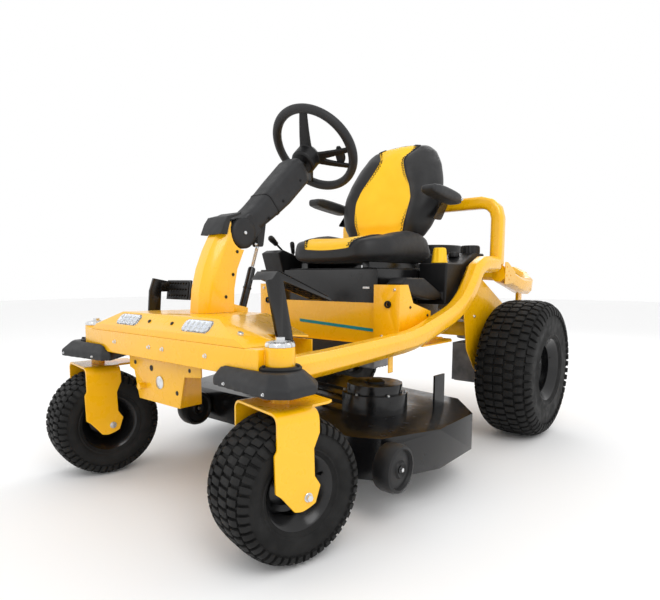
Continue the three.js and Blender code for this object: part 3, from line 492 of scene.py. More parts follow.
def rim_profile(wheel, hub, hub_half, dish, bore):
    flange, half = wheel["flange"], wheel["rim_half"]
    barrel = flange - 0.008
    well = barrel - 0.007
    outer = [(flange, half), (flange + 0.001, half - 0.003), (flange - 0.001, half - 0.0055),
             (barrel, half - 0.008), (barrel - 0.001, half - 0.018), (well - 0.005, half - 0.024)]
    face = [(well - 0.009, -half + 0.026), (well - 0.009, dish - 0.012), (well - 0.016, dish - 0.003),
            (hub + 0.020, dish - 0.003), (hub + 0.008, dish - 0.012), (hub, -hub_half), (bore, -hub_half)]
    back = [(bore, hub_half), (hub, hub_half), (hub + 0.004, dish + 0.008), (hub + 0.022, dish + 0.004),
            (well - 0.020, dish + 0.004), (well - 0.009, dish + 0.012), (well - 0.009, half - 0.028),
            (flange - 0.006, half - 0.004)]
    far = [(r, -w) for r, w in reversed(outer)]
    return far + [(flange - 0.006, -half + 0.004)] + face + back + outer


def lug_bolts(bm, place, x, along, count, circle_r, size):
    for i in range(count):
        turn = 2 * math.pi * i / count + 0.3
        centre = place @ Vector((x, circle_r * math.cos(turn), circle_r * math.sin(turn)))
        hex_bolt(bm, centre, place.to_3x3() @ Vector((along, 0, 0)), size, size * 1.1)


def front_rim(side):
    place = wheel_place(f"front_spin_{side}")
    bm = spun(rim_profile(FRONT_WHEEL, 0.024, 0.078, 0.0, 0.0105), place, 72, closed=True)
    rod(bm, place @ Vector((0.02, 0.055, 0.02)), place @ Vector((0.052, 0.062, 0.022)), 0.003, 10)
    make(f"front_rim_dish_{side}", bm, f"front_rim_{side}", sharp=30)


def rear_rim(side, s):
    place = wheel_place(f"rear_spin_{side}") @ Matrix.Diagonal((s, 1, 1, 1))
    bm = spun(rim_profile(REAR_WHEEL, 0.036, 0.030, 0.025, 0.004), place, 72, closed=True)
    rod(bm, place @ Vector((0.02, 0, 0)), place @ Vector((-0.158, 0, 0)), 0.014, 24)
    lathe(bm, [(0.034, 0.02), (0.034, 0.046), (0.026, 0.050), (0.026, 0.020)], place, 32)
    rod(bm, place @ Vector((0.035, 0.082, 0.03)), place @ Vector((0.068, 0.090, 0.033)), 0.0035, 10)
    make(f"rear_rim_dish_{side}", bm, f"rear_rim_{side}", sharp=30)
    bolts = bmesh.new()
    lug_bolts(bolts, place, 0.029, 1, 5, 0.058, 0.012)
    make(f"rear_lug_bolts_{side}", bolts, f"rear_rim_{side}", STEEL, stands_for=False)


# ---- forks: one bent plate over each front wheel ----
FORK = {"half": 0.089, "plate": 0.006, "top": 0.333, "bend": 0.022}
LEG_FRONT = ((0.129, -0.008), (0.131, -0.022), (0.150, -0.038), (0.169, -0.054), (0.178, -0.066),
             (0.253, -0.068), (0.263, -0.062), (0.333, -0.062))
LEG_REAR = ((0.129, -0.004), (0.133, 0.012), (0.140, 0.028), (0.175, 0.040), (0.196, 0.026),
            (0.253, 0.024), (0.284, 0.038), (0.333, 0.037))


def fork_rows():
    """(x, z) of the plate's outer face and its front and rear edges, from the middle of the crown down."""
    half, top, bend = FORK["half"], FORK["top"], FORK["bend"]
    rows = [(0.0, top, -0.062, 0.105), (0.040, top, -0.062, 0.105), (0.048, top, -0.062, 0.092),
            (0.056, top, -0.062, 0.045), (0.062, top, -0.062, 0.038)]
    for i in range(9):
        turn = math.pi / 2 * i / 8
        z = top - bend + bend * math.cos(turn)
        rows.append((half - bend + bend * math.sin(turn), z, -0.062, 0.037))
    for i in range(1, 61):
        z = top - bend - (top - bend - 0.129) * i / 60
        rows.append((half, z, interpolate(LEG_FRONT, z), interpolate(LEG_REAR, z)))
    return rows


def fork(side):
    swivel = Vector(JOINTS[f"fork_swivel_{side}"]["pos_m"])
    axle = Vector(JOINTS[f"front_spin_{side}"]["axis"])
    place = Matrix.Translation((swivel.x, swivel.y, 0)) @ Matrix.Rotation(math.atan2(axle.y, axle.x), 4, "Z")
    half_rows = fork_rows()
    rows = [(-x, z, f, r) for x, z, f, r in reversed(half_rows[1:])] + half_rows
    rings = []
    for i, (x, z, front, rear) in enumerate(rows):
        ahead, behind = rows[min(i + 1, len(rows) - 1)], rows[max(i - 1, 0)]
        along = Vector((ahead[0] - behind[0], ahead[1] - behind[1])).normalized()
        inward = Vector((along.y, -along.x)) * FORK["plate"]
        rings.append([place @ Vector(spot) for spot in (
            (x, front, z), (x, rear, z), (x + inward.x, rear, z + inward.y),
                                                        (x + inward.x, front, z + inward.y))])
    bm = loft(rings)
    rod(bm, place @ Vector((0, 0, 0.330)), place @ Vector((0, 0, 0.449)), 0.0195, 32)
    bevel(make(f"fork_plate_{side}", bm, f"fork_{side}", sharp=25), 0.0016, 2, 50)
    bolt = bmesh.new()
    for s in (-1, 1):
        hex_bolt(bolt, place @ Vector((s * 0.089, 0.009, 0.156)), place.to_3x3() @ Vector((s, 0, 0)), 0.0125,
                 0.009)
    rod(bolt, place @ Vector((-0.088, 0.009, 0.156)), place @ Vector((0.088, 0.009, 0.156)), 0.0095)
    make(f"fork_axle_{side}", bolt, f"fork_{side}", STEEL, stands_for=False)


def swivel_cap(side):
    """A pressed steel cap with a fluted edge and a hex nut on top."""
    pos = Vector(JOINTS[f"fork_swivel_{side}"]["pos_m"])
    centre = Vector((pos.x, pos.y, 0))
    levels = ((0.0315, 0.4506, 0.04), (0.0322, 0.4545, 0.05), (0.0300, 0.4590, 0.05), (0.0220, 0.4612, 0.0),
              (0.0130, 0.4615, 0.0))
    rings = []
    for radius, z, flute in levels:
        ring = []
        for i in range(72):
            turn = 2 * math.pi * i / 72
            r = radius * (1 + flute * math.cos(12 * turn) - flute)
            ring.append(centre + Vector((r * math.cos(turn), r * math.sin(turn), z)))
        rings.append(ring)
    bm = loft(rings)
    rod(bm, centre + Vector((0, 0, 0.460)), centre + Vector((0, 0, 0.470)), 0.0105, 6, 0.001)
    rod(bm, centre + Vector((0, 0, 0.461)), centre + Vector((0, 0, 0.463)), 0.0140, 24)
    make(f"swivel_cap_fluted_{side}", bm, f"swivel_cap_{side}", sharp=30)


for side, s in SIDES:
    tyre(side, "front", FRONT_WHEEL)
    tyre(side, "rear", REAR_WHEEL)
    front_rim(side)
    rear_rim(side, s)
    fork(side)
    swivel_cap(side)



# ---- shaping helpers for soft and moulded pieces ----
def baked(piece):
    """The piece with its modifiers applied."""
    bpy.context.view_layer.update()
    evaluated = piece.evaluated_get(bpy.context.evaluated_depsgraph_get())
    mesh = bpy.data.meshes.new_from_object(evaluated)
    piece.modifiers.clear()
    piece.data = mesh
    return piece


def fused(piece, voxel, rounds, sharp=60):
    """One continuous moulding: overlapping closed parts become one skin with rounded edges."""
    remesh = piece.modifiers.new("skin", "REMESH")
    remesh.mode = "VOXEL"
    remesh.voxel_size = voxel
    rounding = piece.modifiers.new("rounding", "SMOOTH")
    rounding.factor = 0.5
    rounding.iterations = rounds
    baked(piece)
    piece.data.shade_smooth()
    piece.data.set_sharp_from_angle(angle=math.radians(sharp))
    return piece


def punch(piece, cutters):
    """Cuts the closed shapes in the cutters' bmesh out of the piece."""
    mesh = bpy.data.meshes.new("punch")
    bmesh.ops.recalc_face_normals(cutters, faces=cutters.faces)
    cutters.to_mesh(mesh)
    cutters.free()
    tool = bpy.data.objects.new("punch", mesh)
    bpy.context.scene.collection.objects.link(tool)
    holes = piece.modifiers.new("holes", "BOOLEAN")
    holes.object = tool
    holes.solver = "EXACT"
    baked(piece)
    bpy.data.objects.remove(tool)
    return piece


CLOTH = {"frames": 20, "stiffness": 12, "bending": 1.5}


def inflate(piece, pressure, cap):
    """Swells a closed soft form by cloth simulation, and lets no point travel further than cap."""
    scene = bpy.context.scene
    rest = [v.co.copy() for v in piece.data.vertices]
    cloth = piece.modifiers.new("cloth", "CLOTH")
    settings = cloth.settings
    settings.use_pressure = True
    settings.uniform_pressure_force = pressure
    settings.effector_weights.gravity = 0
    settings.tension_stiffness = settings.compression_stiffness = CLOTH["stiffness"]
    settings.bending_stiffness = CLOTH["bending"]
    for number in range(1, CLOTH["frames"] + 1):
        scene.frame_set(number)
    shaped = piece.evaluated_get(bpy.context.evaluated_depsgraph_get()).to_mesh()
    moved = [v.co.copy() for v in shaped.vertices]
    piece.modifiers.remove(cloth)
    scene.frame_set(1)
    for vertex, start, end in zip(piece.data.vertices, rest, moved):
        travel = end - start
        if travel.length > cap:
            travel = travel.normalized() * cap
        vertex.co = start + travel


def tube(bm, path, radius, sides=10):
    """A round tube through the path, free to bend any way."""
    rings = []
    side = None
    for i, spot in enumerate(path):
        along = (path[min(i + 1, len(path) - 1)] - path[max(i - 1, 0)]).normalized()
        if side is None:
            side = along.orthogonal().normalized()
        side = (side - along * side.dot(along)).normalized()
        up = along.cross(side)
        rings.append([spot + side * a + up * b for a, b in circle(radius, sides)])
    join_rings(bm, rings)


def bolts_on(name, node, spots, along, size=0.007, height=0.006):
    """A group of hex bolts on one node, all along one direction."""
    bm = bmesh.new()
    for spot in spots:
        hex_bolt(bm, spot, along, size, height)
    return make(name, bm, node, STEEL, stands_for=False)


def screws_on(name, node, spots, along, size=0.005):
    """Round-headed black screws with a dished top."""
    bm = bmesh.new()
    for spot in spots:
        place = frame_at(spot, along)
        lathe(bm, [(size, -0.001), (size, 0.0012), (size * 0.7, 0.0028), (size * 0.3, 0.0030),
                   (size * 0.2, 0.0016)],
              place, 20, closed=False)
    return make(name, bm, node, PLASTIC, stands_for=False)


# ---- front beam, cover, lamps and bracket ----
BEAM_FRONT = -0.045
SLOPE = math.radians(47.5)
LAMP = {"x": 0.150, "y": -0.0285, "z": 0.480, "half": 0.052, "deep": 0.018}


def lamp_place(s):
    return Matrix.Translation(at(s * LAMP["x"], LAMP["y"], LAMP["z"])) @ Matrix.Rotation(SLOPE, 4, "X")


def lamp_layer(bm, place, inset, levels):
    """Rounded lamp outlines stacked at (level, further inset) pairs."""
    rings = []
    for level, more in levels:
        reach = inset + more
        outline = rounded_square(2 * (LAMP["half"] - reach), 2 * (LAMP["deep"] - reach), 0.012, 5)
        rings.append([place @ Vector((x, y, level)) for x, y in outline])
    join_rings(bm, rings)


def headlight(side, s):
    place = lamp_place(s)
    lens = bmesh.new()
    lamp_layer(lens, place, 0.0012, [(-0.001, 0.0), (0.0015, 0.0), (0.0026, 0.0012), (0.003, 0.006)])
    make(f"lamp_lens_{side}", lens, f"headlight_{side}", LENS, sharp=60)
    bowl = bmesh.new()
    lamp_layer(bowl, place, 0.0005, [(-0.009, 0.004), (-0.0075, 0.0), (-0.0016, 0.0)])
    make(f"lamp_bowl_{side}", bowl, f"headlight_{side}", LAMP_BOWL, stands_for=False)
    lights = bmesh.new()
    for column in range(5):
        for row in range(2):
            x = (column - 2) * 0.019
            y = (row - 0.5) * 0.015
            centre = place @ Vector((x, y, -0.0022))
            lathe(lights, [(0.0062, -0.001), (0.0062, 0.0005), (0.004, 0.0016), (0.002, 0.0019)],
                  frame_at(centre, place.to_3x3() @ Vector((0, 0, 1))), 16, closed=False)
    make(f"lamp_diodes_{side}", lights, f"headlight_{side}", DIODE, stands_for=False)


def front_end():
    soften("front_beam", 0.004, 3)
    bolts_on("beam_bolts", "front_beam", [at(x, BEAM_FRONT, 0.417) for x in (-0.20, -0.03, 0.03, 0.20)],
             (0, -1, 0))
    soften("beam_cover", 0.005, 3)
    normal, spot = Vector((0.373, 0.005, 0.928)), at(0.285, -0.015, 0.4679)
    latch = bmesh.new()
    rod(latch, spot - normal * 0.001, spot + normal * 0.006, 0.007, 20, 0.001)
    make("cover_latch", latch, "beam_cover", STEEL, stands_for=False)
    screws_on("cover_screws", "beam_cover",
              [at(s * 0.05, LAMP["y"], LAMP["z"]) for s in (-1, 1)], (0, -math.sin(SLOPE), math.cos(SLOPE)))
    soften("front_bracket", 0.0015, 2)
    disc = bmesh.new()
    lathe(disc, [(0.017, 0), (0.017, 0.003), (0.014, 0.005), (0.006, 0.0055)],
          frame_at(at(-0.045, -0.006, 0.318), (0, -1, 0)), 32, closed=False)
    make("bracket_latch_plate", disc, "front_bracket", STEEL, stands_for=False)
    holes = bmesh.new()
    for x, z, r in ((-0.165, 0.360, 0.006), (-0.085, 0.352, 0.008), (0.030, 0.300, 0.006),
                    (0.085, 0.364, 0.005)):
        lathe(holes, [(r, 0), (r, 0.0006), (r * 0.8, 0.0008)], frame_at(at(x, -0.0061, z), (0, -1, 0)), 20,
              closed=False)
    make("bracket_hole_rims", holes, "front_bracket", PLASTIC, stands_for=False)
    for side, s in SIDES:
        headlight(side, s)
        corner_guard(side, s)


def corner_guard(side, s):
    fused(soften(f"corner_guard_{side}", 0.006, 2, 25, GREY), 0.004, 3)
    collar = bmesh.new()
    place = frame_at(at(s * SWIVEL_X, 0, 0.4015), (0, 0, 1))
    lathe(collar, [(0.0328, 0), (0.0328, 0.010), (0.042, 0.010), (0.046, 0.006), (0.046, 0)], place, 48)
    for turn in (20, 100, 180, 260):
        angle = math.radians(turn)
        centre = at(s * SWIVEL_X + 0.0405 * math.cos(angle), 0.0405 * math.sin(angle), 0.411)
        rod(collar, centre, centre + Vector((0, 0, 0.004)), 0.004, 12, 0.0008)
    make(f"guard_collar_{side}", collar, f"corner_guard_{side}", PLASTIC, stands_for=False)
    bolts_on(f"guard_bolts_{side}", f"corner_guard_{side}",
             [at(s * x, y, z) for x, y, z in ((0.290, -0.0675, 0.369), (0.430, -0.086, 0.369))],
             (0, -1, 0), 0.0045, 0.004)


LAMP_BOWL = metal("lamp_reflector", (0.85, 0.87, 0.9), 0.18, (1, 1, 1))
DIODE = moulded("lamp_diode", (0.75, 0.77, 0.78), (0.9, 0.9, 0.88), 0.3, 200)
front_end()


# ---- pedestal, column, steering wheel and strut ----
COLUMN_ANGLE = math.atan2(JOINTS["steering_turn"]["axis"][1], JOINTS["steering_turn"]["axis"][2])
WHEEL_AT = Vector(JOINTS["steering_turn"]["pos_m"])
COLUMN = Matrix.Translation(WHEEL_AT) @ Matrix.Rotation(-COLUMN_ANGLE, 4, "X")
TILT_AT = Vector(JOINTS["column_tilt"]["pos_m"])
RIM_RADIUS, RIM_TUBE, HUB_DROP = 0.139, 0.0145, 0.042


def shroud_ring(along, top, bottom, half):
    outline = fillet([(half, -top), (half, bottom), (-half, bottom), (-half, -top)], 0.022, 5)
    return [COLUMN @ Vector((x, v, along)) for x, v in outline]


def column_shroud():
    rows = ((-0.415, 0.047, 0.012, 0.040), (-0.385, 0.048, 0.014, 0.041), (-0.350, 0.045, 0.022, 0.041),
            (-0.300, 0.045, 0.031, 0.041), (-0.240, 0.046, 0.038, 0.043), (-0.135, 0.046, 0.040, 0.044),
            (-0.116, 0.042, 0.034, 0.038), (-0.110, 0.034, 0.028, 0.032))
    bm = loft([shroud_ring(*row) for row in rows])
    casing = make("shroud_casing", bm, "column_shroud", GREY)
    fused(casing, 0.0025, 4)
    cheeks = bmesh.new()
    for s in (-1, 1):
        lathe(cheeks, [(0.030, 0), (0.040, 0.0015), (0.043, 0.006), (0.043, 0.0266)],
              frame_at(TILT_AT + Vector((s * 0.043, 0, 0)), (-s, 0, 0)), 56, closed=False)
        outline = [(-0.048, -0.435), (-0.046, -0.390), (0.014, -0.390), (0.018, -0.440), (-0.022, -0.470)]
        rings = []
        for x in (s * 0.0165, s * 0.041):
            rings.append([COLUMN @ Vector((x, v, along)) for v, along in outline])
        join_rings(cheeks, rings)
    bevel(make("shroud_cheeks", cheeks, "column_shroud", GREY), 0.003, 3, 50)
    seam = bmesh.new()
    ring = shroud_ring(-0.2965, 0.0462, 0.0322, 0.0422)
    ring_low = shroud_ring(-0.3005, 0.0462, 0.0318, 0.0422)
    join_rings(seam, [ring_low, ring])
    make("shroud_seam", seam, "column_shroud", PLASTIC, stands_for=False)
    screws_on("shroud_screws", "column_shroud",
              [COLUMN @ Vector((0.0432, 0.008, along)) for along in (-0.165, -0.265, -0.345)], (1, 0, 0),
              0.0042)
    lugs = bmesh.new()
    top = Vector(JOINTS["strut_pivot"]["pos_m"])
    eye = top + Vector(JOINTS["strut_slide"]["axis"]) * STRUT_SPAN
    for s in (-1, 1):
        outline = fillet([(-0.016, 0.062), (0.022, 0.062), (0.010, -0.009), (-0.010, -0.009)], 0.008, 4)
        rings = [[eye + Vector((x, y, z)) for y, z in outline] for x in (s * 0.0092, s * 0.0128)]
        join_rings(lugs, rings)
    make("shroud_lugs", lugs, "column_shroud", GREY, stands_for=False)


def spoke(bm, turn, width, thick, crown=0.0):
    """A spoke from the dished hub out to the rim, with rounded sides."""
    rings = []
    for share in range(9):
        t = share / 8
        reach = 0.018 + (RIM_RADIUS - 0.022) * t
        depth = -HUB_DROP + 0.006 + (HUB_DROP - 0.004) * t ** 1.3 + crown * math.sin(math.pi * t)
        half = width * (1 - 0.42 * t)
        outline = rounded_square(2 * half, thick, min(half, thick / 2) * 0.8, 4)
        swing = Matrix.Rotation(math.radians(turn), 4, "Z")
        rings.append([COLUMN @ swing @ Vector((reach, a, depth - thick / 2 + b)) for a, b in outline])
    join_rings(bm, rings)


def steering_wheel():
    rim = bmesh.new()
    sides, turns = 20, 120
    rows = []
    for i in range(turns):
        angle = 2 * math.pi * i / turns
        swell = 1 + 0.05 * math.cos(3 * angle)
        ring = []
        for a, b in circle(RIM_TUBE, sides):
            out = RIM_RADIUS + a * swell
            ring.append(rim.verts.new(COLUMN @ Vector((out * math.cos(angle), out * math.sin(angle),
                                                       b * swell))))
        rows.append(ring)
    for i in range(turns):
        low, high = rows[i], rows[(i + 1) % turns]
        for j in range(sides):
            k = (j + 1) % sides
            rim.faces.new((low[j], low[k], high[k], high[j]))
    make("steering_rim", rim, "steering_wheel", GREY)
    spokes = bmesh.new()
    for turn, width, thick in ((-75, 0.022, 0.012), (127, 0.022, 0.012), (10, 0.014, 0.011),
                               (36, 0.013, 0.011)):
        spoke(spokes, turn, width, thick)
    hub_place = frame_at(COLUMN @ Vector((0, 0, -HUB_DROP - 0.040)), COLUMN.to_3x3() @ Vector((0, 0, 1)))
    lathe(spokes, [(0.034, 0), (0.041, 0.006), (0.041, 0.042), (0.037, 0.050), (0.020, 0.054)], hub_place,
          48, closed=False)
    rod(spokes, COLUMN @ Vector((0, 0, -0.165)), COLUMN @ Vector((0, 0, -HUB_DROP - 0.030)), 0.010, 24)
    fused(make("steering_spokes", spokes, "steering_wheel", PLASTIC), 0.0022, 3)
    crescent = bmesh.new()
    rings = []
    for i in range(13):
        t = i / 12
        turn = math.radians(3 + 40 * t)
        half = 0.006 + 0.011 * math.sin(math.pi * t)
        outline = rounded_square(2 * half, 0.007, 0.003, 3)
        spot = Vector((0.098 * math.cos(turn), 0.098 * math.sin(turn), -0.006))
        outward = Vector((math.cos(turn), math.sin(turn), 0))
        rings.append([COLUMN @ (spot + outward * a + Vector((0, 0, b))) for a, b in outline])
    join_rings(crescent, rings)
    make("steering_crescent", crescent, "steering_wheel", GREY, stands_for=False)
    cap = spun([(0.0325, 0), (0.0325, 0.002), (0.030, 0.004), (0.012, 0.0055)],
               frame_at(COLUMN @ Vector((0, 0, -HUB_DROP + 0.0125)), COLUMN.to_3x3() @ Vector((0, 0, 1))), 48)
    make("steering_hub_cap", cap, "steering_wheel", GREY, stands_for=False)


STRUT_BASE = Vector(JOINTS["strut_pivot"]["pos_m"])
STRUT_AXIS = Vector(JOINTS["strut_slide"]["axis"]).normalized()
STRUT_SPAN = (at(0, 0.305, 0.690) - STRUT_BASE).length


def tilt_strut():
    place = frame_at(STRUT_BASE, STRUT_AXIS)
    body = [(0.007, 0.004), (0.010, 0.008), (0.011, 0.012), (0.011, 0.128), (0.0095, 0.133), (0.0062, 0.135)]
    bm = spun(body, place, 32)
    rod(bm, STRUT_BASE - Vector((0.011, 0, 0)), STRUT_BASE + Vector((0.011, 0, 0)), 0.009, 28, 0.0015)
    lathe(bm, [(0.0125, 0.070), (0.0125, 0.074), (0.0110, 0.075), (0.0110, 0.069)], place, 32)
    make("strut_body", bm, "strut_cylinder", BLACK)
    thread = [(0.0052, 0.045), (0.0052, 0.134)]
    for i in range(26):
        start = 0.136 + i * 0.0022
        thread += [(0.0054, start), (0.0046, start + 0.0011)]
    thread += [(0.0052, 0.196), (0.0052, STRUT_SPAN - 0.004)]
    rod_mesh = spun(thread, place, 24)
    eye = STRUT_BASE + STRUT_AXIS * STRUT_SPAN
    rod(rod_mesh, eye - Vector((0.0068, 0, 0)), eye + Vector((0.0068, 0, 0)), 0.0072, 24, 0.001)
    make("strut_thread", rod_mesh, "strut_rod", STEEL)


soften("pedestal", 0.004, 3, 25)
soften("pedestal_cap", 0.003, 3, 25)
screws_on("pedestal_screws", "pedestal",
          [at(0.0391, y, z) for y, z in ((0.150, 0.540), (0.176, 0.600), (0.192, 0.662))], (1, 0, 0), 0.0045)
bolts_on("tilt_pivot_bolt", "pedestal", [TILT_AT + Vector((0.0405, 0, 0))], (1, 0, 0), 0.009, 0.005)
column_shroud()
steering_wheel()
tilt_strut()


# ---- pedals: bent arms with perforated tread plates ----
def pedal_holes(bm, start, end, across, count, rows, radius, normal):
    """Rows of round cutters between two points of the plate, spread across it."""
    for i in range(count):
        base = start.lerp(end, (i + 0.5) / count)
        for row in range(rows):
            centre = base + across * ((row + 0.5) / rows)
            rod(bm, centre - normal * 0.02, centre + normal * 0.02, radius, 14)


def brake_pedal():
    pos = Vector(JOINTS["brake_press"]["pos_m"])
    pad = soften("brake_pedal", 0.0016, 2)
    start, end = pos + Vector((-0.062, -0.026, 0.166)), pos + Vector((-0.062, 0.155, 0.102))
    slope = (end - start).normalized()
    normal = Vector((1, 0, 0)).cross(slope)
    tread = bmesh.new()
    outline = rounded_square(0.062, (end - start).length, 0.008, 4)
    middle = (start + end) / 2 + Vector((0.031, 0, 0)) + normal * 0.0065
    rings = [[middle + Vector((a, 0, 0)) + slope * b + normal * lift for a, b in outline]
             for lift in (-0.001, 0.0012)]
    join_rings(tread, rings)
    plate = make("brake_tread", tread, "brake_pedal", PLASTIC, stands_for=False)
    for piece in (plate, pad):
        cutters = bmesh.new()
        pedal_holes(cutters, start + Vector((0.004, 0, 0)), end + Vector((0.004, 0, 0)),
                    Vector((0.054, 0, 0)),
                    9, 3, 0.0056, normal)
        punch(piece, cutters)
    bolts_on("brake_pivot_bolt", "brake_pedal", [pos + Vector((0.0185, 0, 0))], (1, 0, 0), 0.009, 0.006)


def drive_pedal():
    pos = Vector(JOINTS["drive_press"]["pos_m"])
    pad = soften("drive_pedal", 0.0016, 2)
    low, high = pos + Vector((0.002, 0.0505, 0.074)), pos + Vector((0.002, 0.0585, 0.129))
    rise = (high - low).normalized()
    normal = rise.cross(Vector((1, 0, 0))).normalized()
    tread = bmesh.new()
    middle = (low + high) / 2 + Vector((0.055, 0, 0))
    outline = rounded_square(0.108, (high - low).length, 0.010, 4)
    rings = [[middle + Vector((a, 0, 0)) + rise * b + normal * lift for a, b in outline]
             for lift in (-0.0012, 0.0012)]
    join_rings(tread, rings)
    plate = make("drive_tread", tread, "drive_pedal", PLASTIC, stands_for=False)
    for piece in (plate, pad):
        cutters = bmesh.new()
        pedal_holes(cutters, low + Vector((0.006, 0, 0)), high + Vector((0.006, 0, 0)), Vector((0.098, 0, 0)),
                    3, 7, 0.0054, normal)
        punch(piece, cutters)
    bolts_on("drive_pivot_bolt", "drive_pedal", [pos - Vector((0.0185, 0, 0))], (-1, 0, 0), 0.009, 0.006)


brake_pedal()
drive_pedal()


# ---- seat: padded cushion and back with a yellow insert, sewn edges and armrests ----
BOLSTER_COLUMNS, INSERT_COLUMNS, FAR_COLUMNS = 6, 12, 16
BACK_ROWS = ((0.734, 0.148, 0.934, 1.008), (0.745, 0.164, 0.926, 1.020), (0.780, 0.188, 0.926, 1.038),
             (0.830, 0.206, 0.938, 1.058), (0.900, 0.210, 0.960, 1.086), (0.960, 0.201, 0.982, 1.104),
             (1.020, 0.182, 1.008, 1.122), (1.070, 0.153, 1.034, 1.132), (1.096, 0.120, 1.052, 1.130),
             (1.106, 0.080, 1.070, 1.116))
BACK_INSERT = ((0.734, 0.098), (0.80, 0.116), (0.88, 0.126), (0.93, 0.110), (0.98, 0.080), (1.03, 0.058),
               (1.06, 0.064), (1.106, 0.098))
BACK_BOLSTER = ((0.734, 0.004), (0.80, 0.016), (0.90, 0.024), (0.98, 0.016), (1.05, 0.008), (1.106, 0.0))
CUSHION_ROWS = ((0.612, 0.120, 0.694, 0.664), (0.618, 0.140, 0.708, 0.655), (0.632, 0.162, 0.720, 0.648),
                (0.665, 0.186, 0.727, 0.646), (0.710, 0.201, 0.728, 0.646), (0.780, 0.204, 0.727, 0.646),
                (0.880, 0.204, 0.726, 0.646), (0.960, 0.202, 0.724, 0.646), (0.995, 0.190, 0.714, 0.652),
                (1.006, 0.170, 0.700, 0.662))
CUSHION_INSERT = ((0.612, 0.098), (0.65, 0.132), (0.72, 0.146), (0.90, 0.146), (1.006, 0.130))
CUSHION_BOLSTER = ((0.612, 0.0), (0.68, 0.004), (0.76, 0.020), (0.84, 0.030), (0.92, 0.026), (1.006, 0.010))


def table_at(rows, value):
    """The last columns of a table of rising keys, at a value between them."""
    keys = [row[0] for row in rows]
    return [float(np.interp(value, keys, [row[k] for row in rows])) for k in range(1, len(rows[0]))]


def pad_section(half, near, far, insert, bolster, boxy):
    """(x, depth) round one section: bolster, insert, bolster on the near side, then the far side."""
    insert = min(insert, half - 0.016)
    middle = (near + far) / 2
    columns = [half + (insert - half) * i / BOLSTER_COLUMNS for i in range(BOLSTER_COLUMNS)]
    columns += [insert - 2 * insert * i / INSERT_COLUMNS for i in range(INSERT_COLUMNS + 1)]
    columns += [-insert + (insert - half) * i / BOLSTER_COLUMNS for i in range(1, BOLSTER_COLUMNS + 1)]
    section = []
    for x in columns:
        share = min(abs(x) / half, 1.0)
        round_off = (1 - share ** boxy) ** (1 / (boxy - 1))
        depth = middle + (near - middle) * round_off
        across = (abs(x) - insert) / (half - insert)
        if across > 0:
            depth += math.copysign(bolster * math.sin(math.pi * min(across, 1.0)) ** 0.8, near - far)
        else:
            depth -= math.copysign(0.006 * (1 - (x / insert) ** 2), near - far)
        section.append((x, depth))
    for i in range(1, FAR_COLUMNS):
        turn = math.pi * i / FAR_COLUMNS
        x = -half * math.cos(turn)
        share = abs(x) / half
        section.append((x, middle + (far - middle) * (1 - share ** 4) ** (1 / 3)))
    return section


def pad_form(rows, inserts, bolsters, step, place, boxy):
    """The closed mesh of a pad, with its insert faces in the second material."""
    low, high = rows[0][0], rows[-1][0]
    count = round((high - low) / step)
    values = [low + (high - low) * (0.5 - 0.5 * math.cos(math.pi * i / count)) for i in range(count + 1)]
    bm = bmesh.new()
    rings = []
    for value in values:
        half, near, far = table_at(rows, value)
        (insert,), (bolster,) = table_at(inserts, value), table_at(bolsters, value)
        rings.append([place(x, value, depth) for x,
                      depth in pad_section(half, near, far, insert, bolster, boxy)])
    join_rings(bm, rings)
    bm.faces.ensure_lookup_table()
    size = len(rings[0])
    span = range(BOLSTER_COLUMNS, BOLSTER_COLUMNS + INSERT_COLUMNS)
    for i, face in enumerate(bm.faces):
        if i < size * count and i % size in span:
            face.material_index = 1
    caps = [face for face in bm.faces if len(face.verts) > 4]
    bmesh.ops.poke(bm, faces=caps)
    return bm, size, count


def pad_lines(piece, size, count):
    """The two edges of the insert, as rows of points on the finished pad."""
    spots = [v.co.copy() for v in piece.data.vertices]
    normals = [v.normal.copy() for v in piece.data.vertices]
    lines = []
    for column in (BOLSTER_COLUMNS, BOLSTER_COLUMNS + INSERT_COLUMNS):
        rows = range(1, count)
        lines.append([(spots[row * size + column], normals[row * size + column]) for row in rows])
    return lines


STITCH = {"pitch": 0.011, "reach": 0.0042, "radius": 0.0011, "piping": 0.0026}


def sew(name, node, lines):
    """Piping along each line, with a zigzag of stitches beside it."""
    piping, thread = bmesh.new(), bmesh.new()
    for side, line in zip((1, -1), lines):
        tube(piping, [spot + normal * 0.0005 for spot, normal in line], STITCH["piping"], 8)
        flip = 1
        for (spot, normal), (ahead, _) in zip(line, line[1:]):
            along = ahead - spot
            steps = max(1, round(along.length / (STITCH["pitch"] / 2)))
            for k in range(steps):
                start = spot.lerp(ahead, k / steps)
                end = spot.lerp(ahead, (k + 1) / steps)
                across = normal.cross(along).normalized() * STITCH["reach"]
                offset = across * side * 2.2 + normal * 0.0012
                rod(thread, start + offset + across * flip, end + offset - across * flip, STITCH["radius"], 6)
                flip = -flip
    make(f"{name}_piping", piping, node, VINYL_BLACK, stands_for=False)
    make(f"{name}_stitches", thread, node, THREAD, stands_for=False)


def seat_pad(name, node, rows, inserts, bolsters, step, place, pressure, boxy):
    bm, size, count = pad_form(rows, inserts, bolsters, step, place, boxy)
    pad = make(name, bm, node, VINYL_BLACK, sharp=180)
    pad.data.materials.append(VINYL_YELLOW)
    inflate(pad, pressure, 0.006)
    pad.data.update()
    lines = pad_lines(pad, size, count)
    subdivide(pad, 1)
    sew(name, node, lines)


seat_pad("seat_back_pad", "seat_back", BACK_ROWS, BACK_INSERT, BACK_BOLSTER, 0.011,
         lambda x, height, depth: at(x, depth, height), 3, 3.4)
seat_pad("seat_cushion_pad", "seat_cushion", CUSHION_ROWS, CUSHION_INSERT, CUSHION_BOLSTER, 0.011,
         lambda x, depth, height: at(x, depth, height), 1.5, 7)

